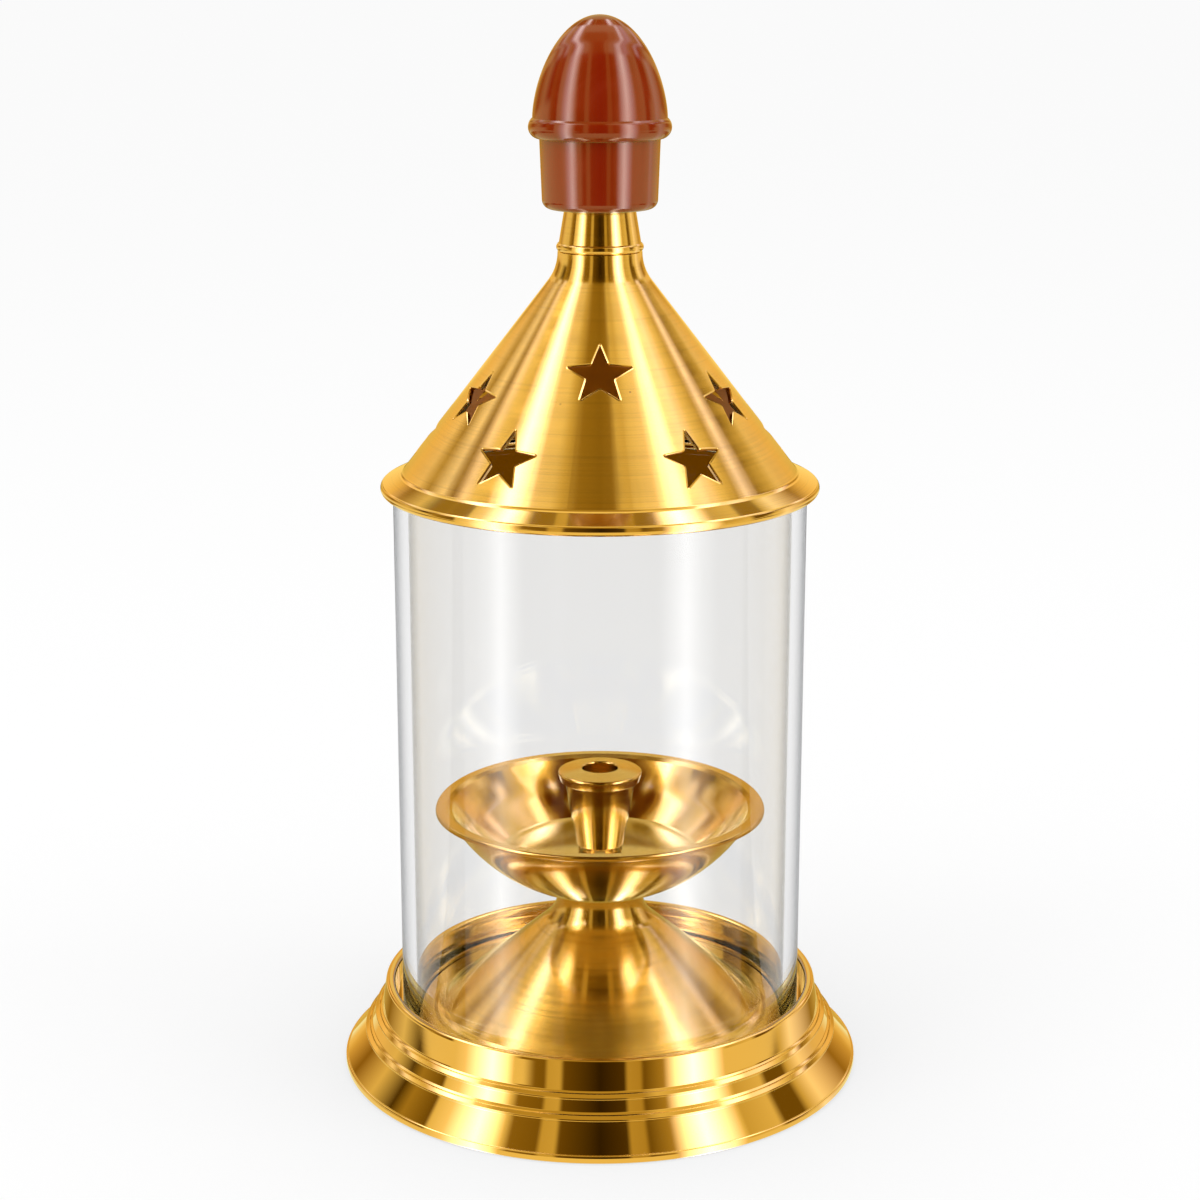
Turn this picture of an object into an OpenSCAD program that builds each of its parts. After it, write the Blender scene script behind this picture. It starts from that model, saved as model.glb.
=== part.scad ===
// Akhand diya: a brass oil lamp with a glass chimney and a star-pierced lid.
// Millimetres, +Z up, origin at the middle of the foot, front of the lamp towards -Y.

/* [Chimney] */
// Outer radius of the glass tube
glass_r = 40; // [34:0.5:48]
// Wall of the glass tube
glass_wall = 2.8; // [2:0.1:4]
// Length of the glass tube
glass_h = 107.8; // [90:0.1:140]
// Rounding of the fire-polished ends
glass_edge_r = 1.1; // [0.5:0.1:1.4]

/* [Base] */
// Room between the glass and the collar that holds it
glass_play = 1.5; // [0.6:0.1:2.5]
// Depth of the seat below the top of the collar
seat_depth = 6.5; // [4:0.1:8]
// Thickness of the ledge under the glass
ledge_t = 1.2; // [1:0.1:2]
// Width of the collar at its rounded top
collar_w = 1.8; // [1.6:0.1:3]
// Rounding of the collar's two top edges, as a ratio of its width
collar_edge_ratio = 0.45; // [0.2:0.01:0.48]
// Height of the collar with its rounded top
collar_h = 6.1; // [5:0.1:9]
// How much wider the collar is at its foot
collar_taper = 1.05; // [0.5:0.05:2]
// Step outwards at each bead
base_step = 1.5; // [1.2:0.05:2.2]
// Radius of the two turned beads
base_bead_r = 0.6; // [0.4:0.05:0.9]
// Height of the band between the beads
band_h = 2.2; // [1.5:0.1:4]
// How much wider that band is at its foot
band_taper = 0.55; // [0.2:0.05:1]
// Height of the flared skirt
flare_h = 4.6; // [3.5:0.1:8]
// How much wider the skirt is at its foot
flare_spread = 3.4; // [2:0.1:6]
// Height of the rounded lip that stands on the table
lip_h = 1.6; // [1.2:0.1:2.5]
// Reach of the lip past the skirt
lip_reach = 0.5; // [0.3:0.1:1]
// Rounding of the lip's two edges, as a ratio of its height
lip_edge_ratio = 0.3; // [0.1:0.01:0.45]
// Wall of the skirt, measured level
skirt_wall = 1.8; // [1.5:0.1:2.2]

/* [Pedestal] */
// Thickness of the spun sheet of the pedestal
pedestal_sheet = 1; // [0.8:0.1:1.4]
// Room between the pedestal's rim and the inside of the glass
pedestal_play = 0.6; // [0.4:0.1:1.5]
// Width of the flat rim at the pedestal's foot
pedestal_rim_w = 4.2; // [3.6:0.1:6]
// How far that rim lies on the ledge
pedestal_lap = 2.5; // [1.5:0.1:3]
// Rise of the cone from its rim to the corner below the neck
pedestal_rise = 20.2; // [15:0.1:30]
// Radius of the neck under the bowl
pedestal_neck_r = 8.4; // [7.9:0.1:11]
// Sweep from the cone up into the neck
pedestal_sweep_r = 8; // [5:0.5:12]
// Sweep from the cone out into the rim
pedestal_foot_r = 4; // [2:0.5:6]
// Thickness of the flat top of the neck
pedestal_top_t = 1.6; // [1.2:0.1:2.5]

/* [Bowl] */
// Radius of the flat foot of the bowl
bowl_foot_r = 7.6; // [6.5:0.1:7.8]
// Radius of the wall under the lip, outside
bowl_wall_r = 30.6; // [26:0.1:33]
// Height of the wall from the foot to the lip
bowl_wall_h = 17.3; // [15:0.1:22]
// Reach of the lip past the wall
bowl_lip_reach = 2.24; // [1.2:0.02:3]
// Thickness of the lip
bowl_lip_t = 1.1; // [0.8:0.1:1.6]
// Rounding of the lip's two edges, as a ratio of its thickness
bowl_lip_edge_ratio = 0.45; // [0.2:0.01:0.48]
// Wall of the bowl at the lip, measured level
bowl_rim_wall = 1; // [0.8:0.1:1.6]
// Height of the flat floor above the foot
bowl_floor_h = 8.2; // [7.8:0.1:9.5]
// Radius of the flat floor
bowl_floor_r = 20; // [16:0.1:20.5]
// Depth of the recess that holds the wick holder's foot
recess_depth = 1; // [0.6:0.1:1.2]

/* [Wick holder] */
// Radius of the bore for the wick
wick_r = 3.5; // [2.5:0.1:3.6]
// Radius of the slotted foot
wick_foot_r = 4.2; // [4.1:0.1:4.6]
// Height of the body above the bowl's floor
wick_lift = 1.4; // [0.8:0.1:3]
// Radius of the tapered body at its lower end
wick_body_r = 4.75; // [4.7:0.05:5.5]
// Radius of the body under the head
wick_neck_r = 7.1; // [6:0.1:7.4]
// Height of the tapered body
wick_body_h = 13.2; // [10:0.1:18]
// Radius of the head at its lower edge
wick_head_r = 7.9; // [7.5:0.1:8.2]
// Radius of the head at its brim
wick_brim_r = 8.5; // [8.2:0.1:9.5]
// Height of the head at its brim
wick_head_h = 2; // [1.5:0.1:3]
// Rise of the top face from the brim to the bore
wick_crown = 0.7; // [0.3:0.1:1.2]
// Rounding of the brim of the head
wick_brim_edge_r = 0.5; // [0.3:0.05:0.7]
// Rounding of the other turned edges of the wick holder
wick_edge_r = 0.2; // [0.1:0.05:0.3]
// Width of the two oil slots across the foot
oil_slot_w = 2; // [1.5:0.1:2.4]

/* [Lid] */
// Thickness of the spun sheet of the lid
lid_sheet = 1; // [0.8:0.1:1.2]
// Slope of the cone from level, in degrees
lid_slope = 52.4; // [46:0.1:58]
// Fall of the brim from level, in degrees
brim_fall = 26; // [20:0.5:32]
// How far inside the glass the cone meets the brim
brim_in = 1.8; // [1:0.1:3]
// Sweep from the cone out into the brim
brim_sweep_r = 2.5; // [1.5:0.1:4]
// Radius of the rolled bead round the brim
rim_bead_r = 1.05; // [1:0.01:1.5]
// Radius of the neck of the lid
lid_neck_r = 8.05; // [7.6:0.05:9]
// Sweep from the cone up into the neck
lid_sweep_r = 9; // [6:0.5:12]
// Thickness of the flat crown inside the neck
crown_t = 1.5; // [1.2:0.1:2]

/* [Stars] */
// Radius of a star at its points
star_r = 6.9; // [5:0.1:7.2]
// Radius of a star between its points
star_waist_r = 2.85; // [2:0.05:3.2]
// Points of a star
star_points = 5; // [4:1:8]
// Distance up the slope from the brim to the lower stars
star_low = 9.2; // [8.8:0.1:10]
// Distance up the slope to the side stars
star_side = 20; // [19:0.1:21]
// Distance up the slope to the middle star
star_mid = 27.8; // [27:0.1:29]
// Turn from the middle star to the first lower stars, in degrees
star_low_turn = 32.5; // [31:0.5:34]
// Turn from the middle star to the first side stars, in degrees
star_side_turn = 64.5; // [62:0.5:68]
// Lower and side stars that follow each other on each half of the lid
star_pairs = 2; // [1:1:2]

/* [Ferrule] */
// Reach of the ferrule's half-round bead
ferrule_bead_r = 8.3; // [8.1:0.05:8.6]
// Height of the ferrule's bead
ferrule_bead_h = 1.8; // [1.4:0.1:2]
// Radius of the ferrule above its bead
ferrule_r = 7.8; // [7.5:0.05:7.95]
// Radius of the ferrule under the knob
ferrule_top_r = 6.75; // [6:0.05:7.3]
// Height of the ferrule
ferrule_h = 8; // [6:0.1:12]
// Rounding of the ferrule's upper edge
ferrule_edge_r = 0.3; // [0.15:0.05:0.4]

/* [Knob] */
// Radius of the cup at its foot
cup_foot_r = 10.9; // [9.5:0.05:11]
// Radius of the cup under the bead
cup_top_r = 11.4; // [11.1:0.05:12]
// Rounding of the cup's lower corner
cup_corner_r = 1.8; // [1:0.1:2.5]
// Height of the middle of the bead above the cup's foot
knob_bead_z = 15.2; // [13:0.1:20]
// Reach of the bead
knob_bead_reach = 13.5; // [13.2:0.05:14.5]
// Radius of the bead's own section
knob_bead_r = 2.2; // [1.9:0.1:2.6]
// Radius of the dome where it leaves the bead
dome_r = 12.7; // [12:0.05:13]
// Height of the dome
dome_h = 18.8; // [14:0.1:25]
// Fullness of the dome, 2 for an ellipse and less for an acorn
dome_power = 1.65; // [1.4:0.05:2]

/* [Fasteners] */
// Radius of the knob's screw
screw_r = 2.5; // [2:0.1:3]
// Radius of the screw's head
screw_head_r = 4.5; // [4:0.1:4.8]
// Height of the screw's head
screw_head_h = 2.8; // [2:0.1:3.5]
// Width of the screwdriver slot
screw_slot_w = 1.2; // [0.8:0.1:1.4]
// Depth of the screwdriver slot
screw_slot_depth = 1.2; // [0.8:0.1:1.4]
// How far the screw reaches into the knob's insert
screw_grip = 9; // [6:0.5:10]
// Radius of the washer under the screw's head
screw_washer_r = 5.4; // [5:0.1:6]
// Thickness of that washer
screw_washer_t = 1; // [0.6:0.1:1.5]
// Outer radius of the insert moulded into the knob
insert_r = 4.2; // [3.8:0.1:5]
// Length of the insert
insert_h = 12; // [11:0.5:15]
// Radius of the bowl's stud
stud_r = 3; // [2.5:0.1:3.5]
// How far the stud reaches into the bowl
stud_grip = 5.4; // [4:0.1:6]
// How far the stud stands past its nut
stud_tail = 2; // [1:0.1:4]
// Radius of the washer under the pedestal's top
stud_washer_r = 6.4; // [6:0.1:6.8]
// Thickness of that washer
stud_washer_t = 1.2; // [0.8:0.1:2]
// Width across the flats of the stud's nut
nut_flats = 10; // [8:0.1:11]
// Height of the stud's nut
nut_h = 5; // [4:0.1:6]

/* [Fits] */
// Room between pieces that lift off each other
lift_gap = 0.3; // [0.2:0.05:0.5]
// Room round a fixed pin, screw or insert
fit_gap = 0.05; // [0.02:0.01:0.1]
// Room round a shank that passes freely through a hole
pass_gap = 0.25; // [0.15:0.05:0.4]
// Room past the end of a screw or stud in its blind hole
tip_gap = 0.4; // [0.2:0.1:0.6]

/* [Hidden] */

$fn = 96;
arc_steps = 10;
dome_steps = 18;
past = 1; // how far a cutting tool runs past what it cuts
arc_slack = 0.01; // keeps the end of a sweep clear of the next point

brass = "#d8a23c";
polished_brass = "#e2b04a";
steel = "#b9bcc0";
bakelite = "#8e2c12";
clear_glass = [0.86, 0.92, 0.95, 0.35];

// Base, from the glass outwards and from the table upwards
collar_in_r = glass_r + glass_play;
collar_top_r = collar_in_r + collar_w;
collar_foot_r = collar_top_r + collar_taper;
band_top_r = collar_foot_r + base_step;
band_foot_r = band_top_r + band_taper;
flare_top_r = band_foot_r + base_step;
flare_foot_r = flare_top_r + flare_spread;
base_foot_r = flare_foot_r + lip_reach;
flare_top_z = lip_h + flare_h;
band_foot_z = flare_top_z + 2 * base_bead_r;
band_top_z = band_foot_z + band_h;
collar_foot_z = band_top_z + 2 * base_bead_r;
base_h = collar_foot_z + collar_h;
collar_edge_r = collar_edge_ratio * collar_w;
lip_edge_r = lip_edge_ratio * lip_h;
seat_z = base_h - seat_depth;

// Pedestal, standing on the ledge inside the glass
glass_in_r = glass_r - glass_wall;
pedestal_rim_r = glass_in_r - pedestal_play;
ledge_in_r = pedestal_rim_r - pedestal_lap;
cone_foot_r = pedestal_rim_r - pedestal_rim_w;
cone_foot_z = seat_z + pedestal_sheet;
cone_top_z = cone_foot_z + pedestal_rise;
pedestal_slope = atan2(pedestal_rise, cone_foot_r - pedestal_neck_r);
pedestal_top_z = cone_top_z + pedestal_sweep_r * tan((90 - pedestal_slope) / 2);

// Bowl, standing on the pedestal
bowl_lip_z = pedestal_top_z + bowl_wall_h;
bowl_top_z = bowl_lip_z + bowl_lip_t;
bowl_floor_z = pedestal_top_z + bowl_floor_h;
bowl_lip_r = bowl_wall_r + bowl_lip_reach;
bowl_lip_edge_r = bowl_lip_edge_ratio * bowl_lip_t;
recess_r = wick_foot_r + lift_gap;
recess_z = bowl_floor_z - recess_depth;

// Wick holder, dropped into the recess
wick_foot_z = recess_z + lift_gap;
wick_body_z = bowl_floor_z + wick_lift;
wick_head_z = wick_body_z + wick_body_h;
wick_brim_z = wick_head_z + wick_head_h;
wick_top_z = wick_brim_z + wick_crown;

// Chimney and lid, stacked on the ledge
glass_z = seat_z + lift_gap;
glass_top_z = glass_z + glass_h;
cone_brim_r = glass_r - brim_in;
cone_brim_z = glass_top_z + lift_gap + lid_sheet / cos(brim_fall) + brim_in * tan(brim_fall);
bead_c_r = glass_r + lift_gap + rim_bead_r;
brim_end_r = bead_c_r + rim_bead_r * sin(brim_fall);
brim_end_z = cone_brim_z - (brim_end_r - cone_brim_r) * tan(brim_fall);
bead_c_z = brim_end_z - rim_bead_r * cos(brim_fall);
neck_corner_z = cone_brim_z + (cone_brim_r - lid_neck_r) * tan(lid_slope);
lid_top_z = neck_corner_z + lid_sweep_r * tan((90 - lid_slope) / 2);
crown_z = lid_top_z - crown_t;
ferrule_top_z = lid_top_z + ferrule_h;

// Knob and the screw that holds it from inside the lid
screw_hole_r = screw_r + pass_gap;
washer_z = crown_z - screw_washer_t;
knob_z = ferrule_top_z;
bead_mid_r = knob_bead_reach - knob_bead_r;
bead_low_turn = -acos((cup_top_r - bead_mid_r) / knob_bead_r);
bead_high_turn = acos((dome_r - bead_mid_r) / knob_bead_r);
dome_z = knob_z + knob_bead_z + knob_bead_r * sin(bead_high_turn);

// Stud that holds the bowl from inside the pedestal
stud_hole_r = stud_r + pass_gap;
stud_washer_z = pedestal_top_z - pedestal_top_t - stud_washer_t;
nut_z = stud_washer_z - nut_h;

// Outlines
function unit(v) = v / norm(v);
function flat(p) = [p.x, p.y];
function reversed(list) = [for (i = [len(list) - 1:-1:0]) list[i]];

// Points of an arc about c from angle a to angle b
function arc(c, r, a, b) =
    [for (i = [0:arc_steps]) c + r * [cos(a + (b - a) * i / arc_steps), sin(a + (b - a) * i / arc_steps)]];

// Arc that rounds the corner b between the lines from a and to c
function corner_arc(a, b, c, r) =
    let (
        u = unit(a - b),
        v = unit(c - b),
        half = acos(u * v) / 2,
        m = b + unit(u + v) * r / sin(half),
        s = b + u * r / tan(half) - m,
        e = b + v * r / tan(half) - m,
        from = atan2(s.y, s.x),
        turn = atan2(e.y, e.x) - from
    )
    arc(m, r, from, from + (turn > 180 ? turn - 360 : turn < -180 ? turn + 360 : turn));

// Closed outline through points of [radius, height, rounding]
function rounded(path) = [
    for (i = [0:len(path) - 1])
        each path[i].z > 0
            ? corner_arc(
                flat(path[(i + len(path) - 1) % len(path)]),
                flat(path[i]),
                flat(path[(i + 1) % len(path)]),
                path[i].z
            )
            : [flat(path[i])]
];

// The same path a sheet's thickness to its right
function right_of(path, t) = [
    for (i = [0:len(path) - 1])
        let (
            back = unit(flat(path[max(i, 1)]) - flat(path[max(i, 1) - 1])),
            ahead = unit(flat(path[min(i + 1, len(path) - 1)]) - flat(path[min(i, len(path) - 2)])),
            n = [back.y, -back.x],
            m = unit(n + [ahead.y, -ahead.x]),
            p = flat(path[i]) + m * t / (m * n),
            grow = back.x * ahead.y > back.y * ahead.x ? t : -t
        )
        [p.x, p.y, path[i].z > 0 ? path[i].z + grow : 0]
];

// Arc through two points whose centre lies on the axis
function axis_arc(p, q) =
    let (
        mid = (q * q - p * p) / (2 * (q.y - p.y)),
        c = [0, mid],
        from = atan2(p.y - mid, p.x),
        to = atan2(q.y - mid, q.x)
    )
    arc(c, norm(p - c), from, to);

function star_outline() =
    [
        for (i = [0:2 * star_points - 1])
            let (turn = 180 * i / star_points)
            (i % 2 == 0 ? star_r : star_waist_r) * [-cos(turn), sin(turn)]
    ];

module turned(outline) {
    rotate_extrude() polygon(outline);
}

module washer(z, outer, hole, t) {
    translate([0, 0, z]) difference() {
        cylinder(r = outer, h = t);
        translate([0, 0, -past]) cylinder(r = hole, h = t + 2 * past);
    }
}

// Stepped skirt with two turned beads, a rounded collar and the ledge that carries the glass
module base_skirt() {
    skirt = [
        [flare_foot_r - skirt_wall, 0, 0],
        [base_foot_r, 0, lip_edge_r],
        [base_foot_r, lip_h, lip_edge_r],
        [flare_foot_r, lip_h, 0],
        [flare_top_r - base_bead_r, flare_top_z, 0]
    ];
    band = [
        [band_foot_r, band_foot_z, 0],
        [band_top_r - base_bead_r, band_top_z, 0]
    ];
    collar = [
        [collar_foot_r, collar_foot_z, 0],
        [collar_top_r, base_h, collar_edge_r],
        [collar_in_r, base_h, collar_edge_r],
        [collar_in_r, seat_z, 0],
        [ledge_in_r, seat_z, 0],
        [ledge_in_r, seat_z - ledge_t, 0],
        [band_top_r - skirt_wall, seat_z - ledge_t, 0],
        [flare_top_r - skirt_wall, flare_top_z, 0],
        [flare_foot_r - skirt_wall, lip_h, 0]
    ];
    color(polished_brass) turned(concat(
        rounded(skirt),
        arc([flare_top_r - base_bead_r, flare_top_z + base_bead_r], base_bead_r, -90, 90),
        rounded(band),
        arc([band_top_r - base_bead_r, band_top_z + base_bead_r], base_bead_r, -90, 90),
        rounded(collar)
    ));
}

// Spun cone that lifts the bowl, with a flat rim at its foot and a drilled flat top
module pedestal_cone() {
    spun = [
        [pedestal_neck_r, pedestal_top_z, 0],
        [pedestal_neck_r, cone_top_z, pedestal_sweep_r - arc_slack],
        [cone_foot_r, cone_foot_z, pedestal_foot_r],
        [pedestal_rim_r, cone_foot_z, 0]
    ];
    inside = right_of(spun, pedestal_sheet);
    top = [
        [pedestal_neck_r - pedestal_sheet, pedestal_top_z - pedestal_top_t],
        [stud_hole_r, pedestal_top_z - pedestal_top_t],
        [stud_hole_r, pedestal_top_z]
    ];
    under_top = [for (p = reversed(rounded(inside))) if (p.y < pedestal_top_z - pedestal_top_t) p];
    color(brass) turned(concat(rounded(spun), under_top, top));
}

module pedestal_washer() {
    color(steel) washer(stud_washer_z, stud_washer_r, stud_hole_r, stud_washer_t);
}

module pedestal_nut() {
    color(steel) translate([0, 0, nut_z]) difference() {
        cylinder(r = nut_flats / 2 / cos(30), h = nut_h, $fn = 6);
        translate([0, 0, -past]) cylinder(r = stud_r + fit_gap, h = nut_h + 2 * past);
    }
}

module bowl_stud() {
    color(steel) translate([0, 0, nut_z - stud_tail])
        cylinder(r = stud_r, h = pedestal_top_z + stud_grip - nut_z + stud_tail);
}

// Turned bowl with a round belly, a lip, a flat floor and a recess for the wick holder
module oil_bowl() {
    stud_hole = [
        [0, pedestal_top_z + stud_grip + tip_gap],
        [stud_r + fit_gap, pedestal_top_z + stud_grip + tip_gap],
        [stud_r + fit_gap, pedestal_top_z]
    ];
    lip = [
        [bowl_wall_r, bowl_lip_z, 0],
        [bowl_lip_r, bowl_lip_z, bowl_lip_edge_r],
        [bowl_lip_r, bowl_top_z, bowl_lip_edge_r],
        [bowl_wall_r, bowl_top_z, 0]
    ];
    recess = [
        [recess_r, bowl_floor_z],
        [recess_r, recess_z],
        [0, recess_z]
    ];
    color(polished_brass) turned(concat(
        stud_hole,
        axis_arc([bowl_foot_r, pedestal_top_z], [bowl_wall_r, bowl_lip_z]),
        rounded(lip),
        axis_arc([bowl_wall_r - bowl_rim_wall, bowl_lip_z + bowl_lip_t / 2], [bowl_floor_r, bowl_floor_z]),
        recess
    ));
}

// Bored and tapered wick holder whose slotted foot lets the oil in
module wick_holder() {
    outline = [
        [wick_r, wick_foot_z, 0],
        [wick_foot_r, wick_foot_z, 0],
        [wick_foot_r, wick_body_z, 0],
        [wick_body_r, wick_body_z, wick_edge_r],
        [wick_neck_r, wick_head_z, 0],
        [wick_head_r, wick_head_z, wick_edge_r],
        [wick_brim_r, wick_brim_z, wick_brim_edge_r],
        [wick_r, wick_top_z, 0]
    ];
    color(polished_brass) difference() {
        turned(rounded(outline));
        for (turn = [0, 90])
            rotate([0, 0, turn])
                translate([-wick_foot_r - past, -oil_slot_w / 2, wick_foot_z - past])
                    cube([2 * (wick_foot_r + past), oil_slot_w, wick_body_z - wick_foot_z + past]);
    }
}

module glass_chimney() {
    tube = [
        [glass_in_r, glass_z, glass_edge_r],
        [glass_r, glass_z, glass_edge_r],
        [glass_r, glass_top_z, glass_edge_r],
        [glass_in_r, glass_top_z, glass_edge_r]
    ];
    color(clear_glass) turned(rounded(tube));
}

// One star-shaped tool at a distance up the slope and a turn round the axis
module star_cut(up, turn) {
    reach = lid_sheet + star_r / 2; // covers the curve of the cone across a star
    rotate([0, 0, turn - 90])
        translate([cone_brim_r - up * cos(lid_slope), 0, cone_brim_z + up * sin(lid_slope)])
            rotate([0, lid_slope, 0])
                translate([0, 0, -reach])
                    linear_extrude(height = 2 * reach)
                        polygon(star_outline());
}

// Spun lid: pierced cone, falling brim with a rolled bead, flat crown inside the neck
module lid_cone() {
    spun = [
        [lid_neck_r, lid_top_z, 0],
        [lid_neck_r, neck_corner_z, lid_sweep_r - arc_slack],
        [cone_brim_r, cone_brim_z, brim_sweep_r],
        [brim_end_r, brim_end_z, 0]
    ];
    inside = right_of(spun, lid_sheet);
    bead_end = 180 - brim_fall - asin((rim_bead_r - lid_sheet) / rim_bead_r);
    under_crown = [
        for (p = reversed(rounded(inside)))
            if (p.y < crown_z && p.x < bead_c_r - rim_bead_r) p
    ];
    crown = [
        [lid_neck_r - lid_sheet, crown_z],
        [screw_hole_r, crown_z],
        [screw_hole_r, lid_top_z]
    ];
    color(brass) difference() {
        turned(concat(
            rounded(spun),
            arc([bead_c_r, bead_c_z], rim_bead_r, 90 - brim_fall, bead_end - 360),
            under_crown,
            crown
        ));
        star_cut(star_mid, 0);
        for (side = [-1, 1], pair = [0:star_pairs - 1]) {
            star_cut(star_low, side * (star_low_turn + pair * star_side_turn));
            star_cut(star_side, side * (pair + 1) * star_side_turn);
        }
    }
}

module lid_ferrule() {
    bead_r = ferrule_bead_h / 2;
    bead_c = [ferrule_bead_r - bead_r, lid_top_z + bead_r];
    bead_end = acos((ferrule_r - bead_c.x) / bead_r);
    side = [
        [ferrule_r, bead_c.y + bead_r * sin(bead_end), 0],
        [ferrule_top_r, ferrule_top_z, ferrule_edge_r],
        [screw_hole_r, ferrule_top_z, 0],
        [screw_hole_r, lid_top_z, 0]
    ];
    color(polished_brass) turned(concat(arc(bead_c, bead_r, -90, bead_end), rounded(side)));
}

// Slotted screw from inside the lid, through the crown and the ferrule, into the knob's insert
module knob_screw() {
    head_z = washer_z - screw_head_h;
    color(steel) difference() {
        union() {
            translate([0, 0, head_z]) cylinder(r = screw_head_r, h = screw_head_h);
            translate([0, 0, head_z]) cylinder(r = screw_r, h = knob_z + screw_grip - head_z);
        }
        translate([-screw_head_r - past, -screw_slot_w / 2, head_z - past])
            cube([2 * (screw_head_r + past), screw_slot_w, screw_slot_depth + past]);
    }
}

module knob_washer() {
    color(steel) washer(washer_z, screw_washer_r, screw_hole_r, screw_washer_t);
}

module knob_insert() {
    color(brass) washer(knob_z, insert_r, screw_r + fit_gap, insert_h);
}

// Moulded knob: a cup, a round bead and an acorn dome, hollow only where the insert sits
module knob() {
    cup = [
        [insert_r + fit_gap, knob_z, 0],
        [cup_foot_r, knob_z, cup_corner_r],
        [cup_top_r, knob_z + knob_bead_z + knob_bead_r * sin(bead_low_turn), 0]
    ];
    dome = [
        for (i = [1:dome_steps - 1])
            let (lean = 90 * i / dome_steps)
            [dome_r * cos(lean), dome_z + dome_h * pow(sin(lean), 2 / dome_power)]
    ];
    socket = [
        [0, dome_z + dome_h],
        [0, knob_z + insert_h + fit_gap],
        [insert_r + fit_gap, knob_z + insert_h + fit_gap]
    ];
    color(bakelite) turned(concat(
        rounded(cup),
        arc([bead_mid_r, knob_z + knob_bead_z], knob_bead_r, bead_low_turn, bead_high_turn),
        dome,
        socket
    ));
}

base_skirt();
pedestal_cone();
pedestal_washer();
pedestal_nut();
bowl_stud();
oil_bowl();
wick_holder();
glass_chimney();
lid_cone();
lid_ferrule();
knob_screw();
knob_washer();
knob_insert();
knob();
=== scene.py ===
"""Looks of a brass akhand diya: stepped base, oil bowl on a cone, glass chimney and starred lid.

Sizes are in millimetres and carry the names of the part's own source. Meshes are made in metres.
"""

import logging
import math
from dataclasses import dataclass, replace
from enum import Enum

import bmesh
import bpy
from mathutils import Matrix, Vector


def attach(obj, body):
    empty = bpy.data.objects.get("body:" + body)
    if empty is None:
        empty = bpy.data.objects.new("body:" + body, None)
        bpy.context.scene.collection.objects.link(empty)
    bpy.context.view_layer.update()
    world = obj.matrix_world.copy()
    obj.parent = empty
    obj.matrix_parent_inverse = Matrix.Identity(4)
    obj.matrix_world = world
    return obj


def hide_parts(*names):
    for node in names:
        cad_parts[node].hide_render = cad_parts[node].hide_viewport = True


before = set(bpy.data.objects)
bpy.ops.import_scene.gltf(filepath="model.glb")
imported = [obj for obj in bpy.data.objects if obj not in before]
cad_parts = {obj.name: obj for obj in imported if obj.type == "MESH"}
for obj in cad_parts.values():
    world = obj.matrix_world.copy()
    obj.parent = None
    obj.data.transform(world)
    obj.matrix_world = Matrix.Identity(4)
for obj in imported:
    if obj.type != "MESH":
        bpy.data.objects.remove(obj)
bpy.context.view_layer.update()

LOG = logging.getLogger("akhand_diya")
MM = 0.001
MERGE = 1e-6
QUARTER = 90.0

Point = tuple[float, float]
Corner = tuple[float, float, float]
Colour = tuple[float, float, float, float]
Stop = tuple[float, float]
Step = tuple[float, float]
Socket = bpy.types.NodeSocket
Outputs = bpy.types.bpy_prop_collection
Material = bpy.types.Material
Piece = bpy.types.Object

WHITE: Colour = (1.0, 1.0, 1.0, 1.0)
BLACK: Colour = (0.0, 0.0, 0.0, 1.0)


class Body(str, Enum):
    """Bodies of the lamp that a piece can ride on."""

    BASE = "base"
    WICK = "wick"
    CHIMNEY = "chimney"
    LID = "lid"


class Slot(str, Enum):
    """Material slots of the lamp's record."""

    POLISHED = "polished_brass"
    BRUSHED = "brushed_brass"
    GLASS = "clear_glass"
    KNOB = "moulded_knob"
    STEEL = "plated_steel"


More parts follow.
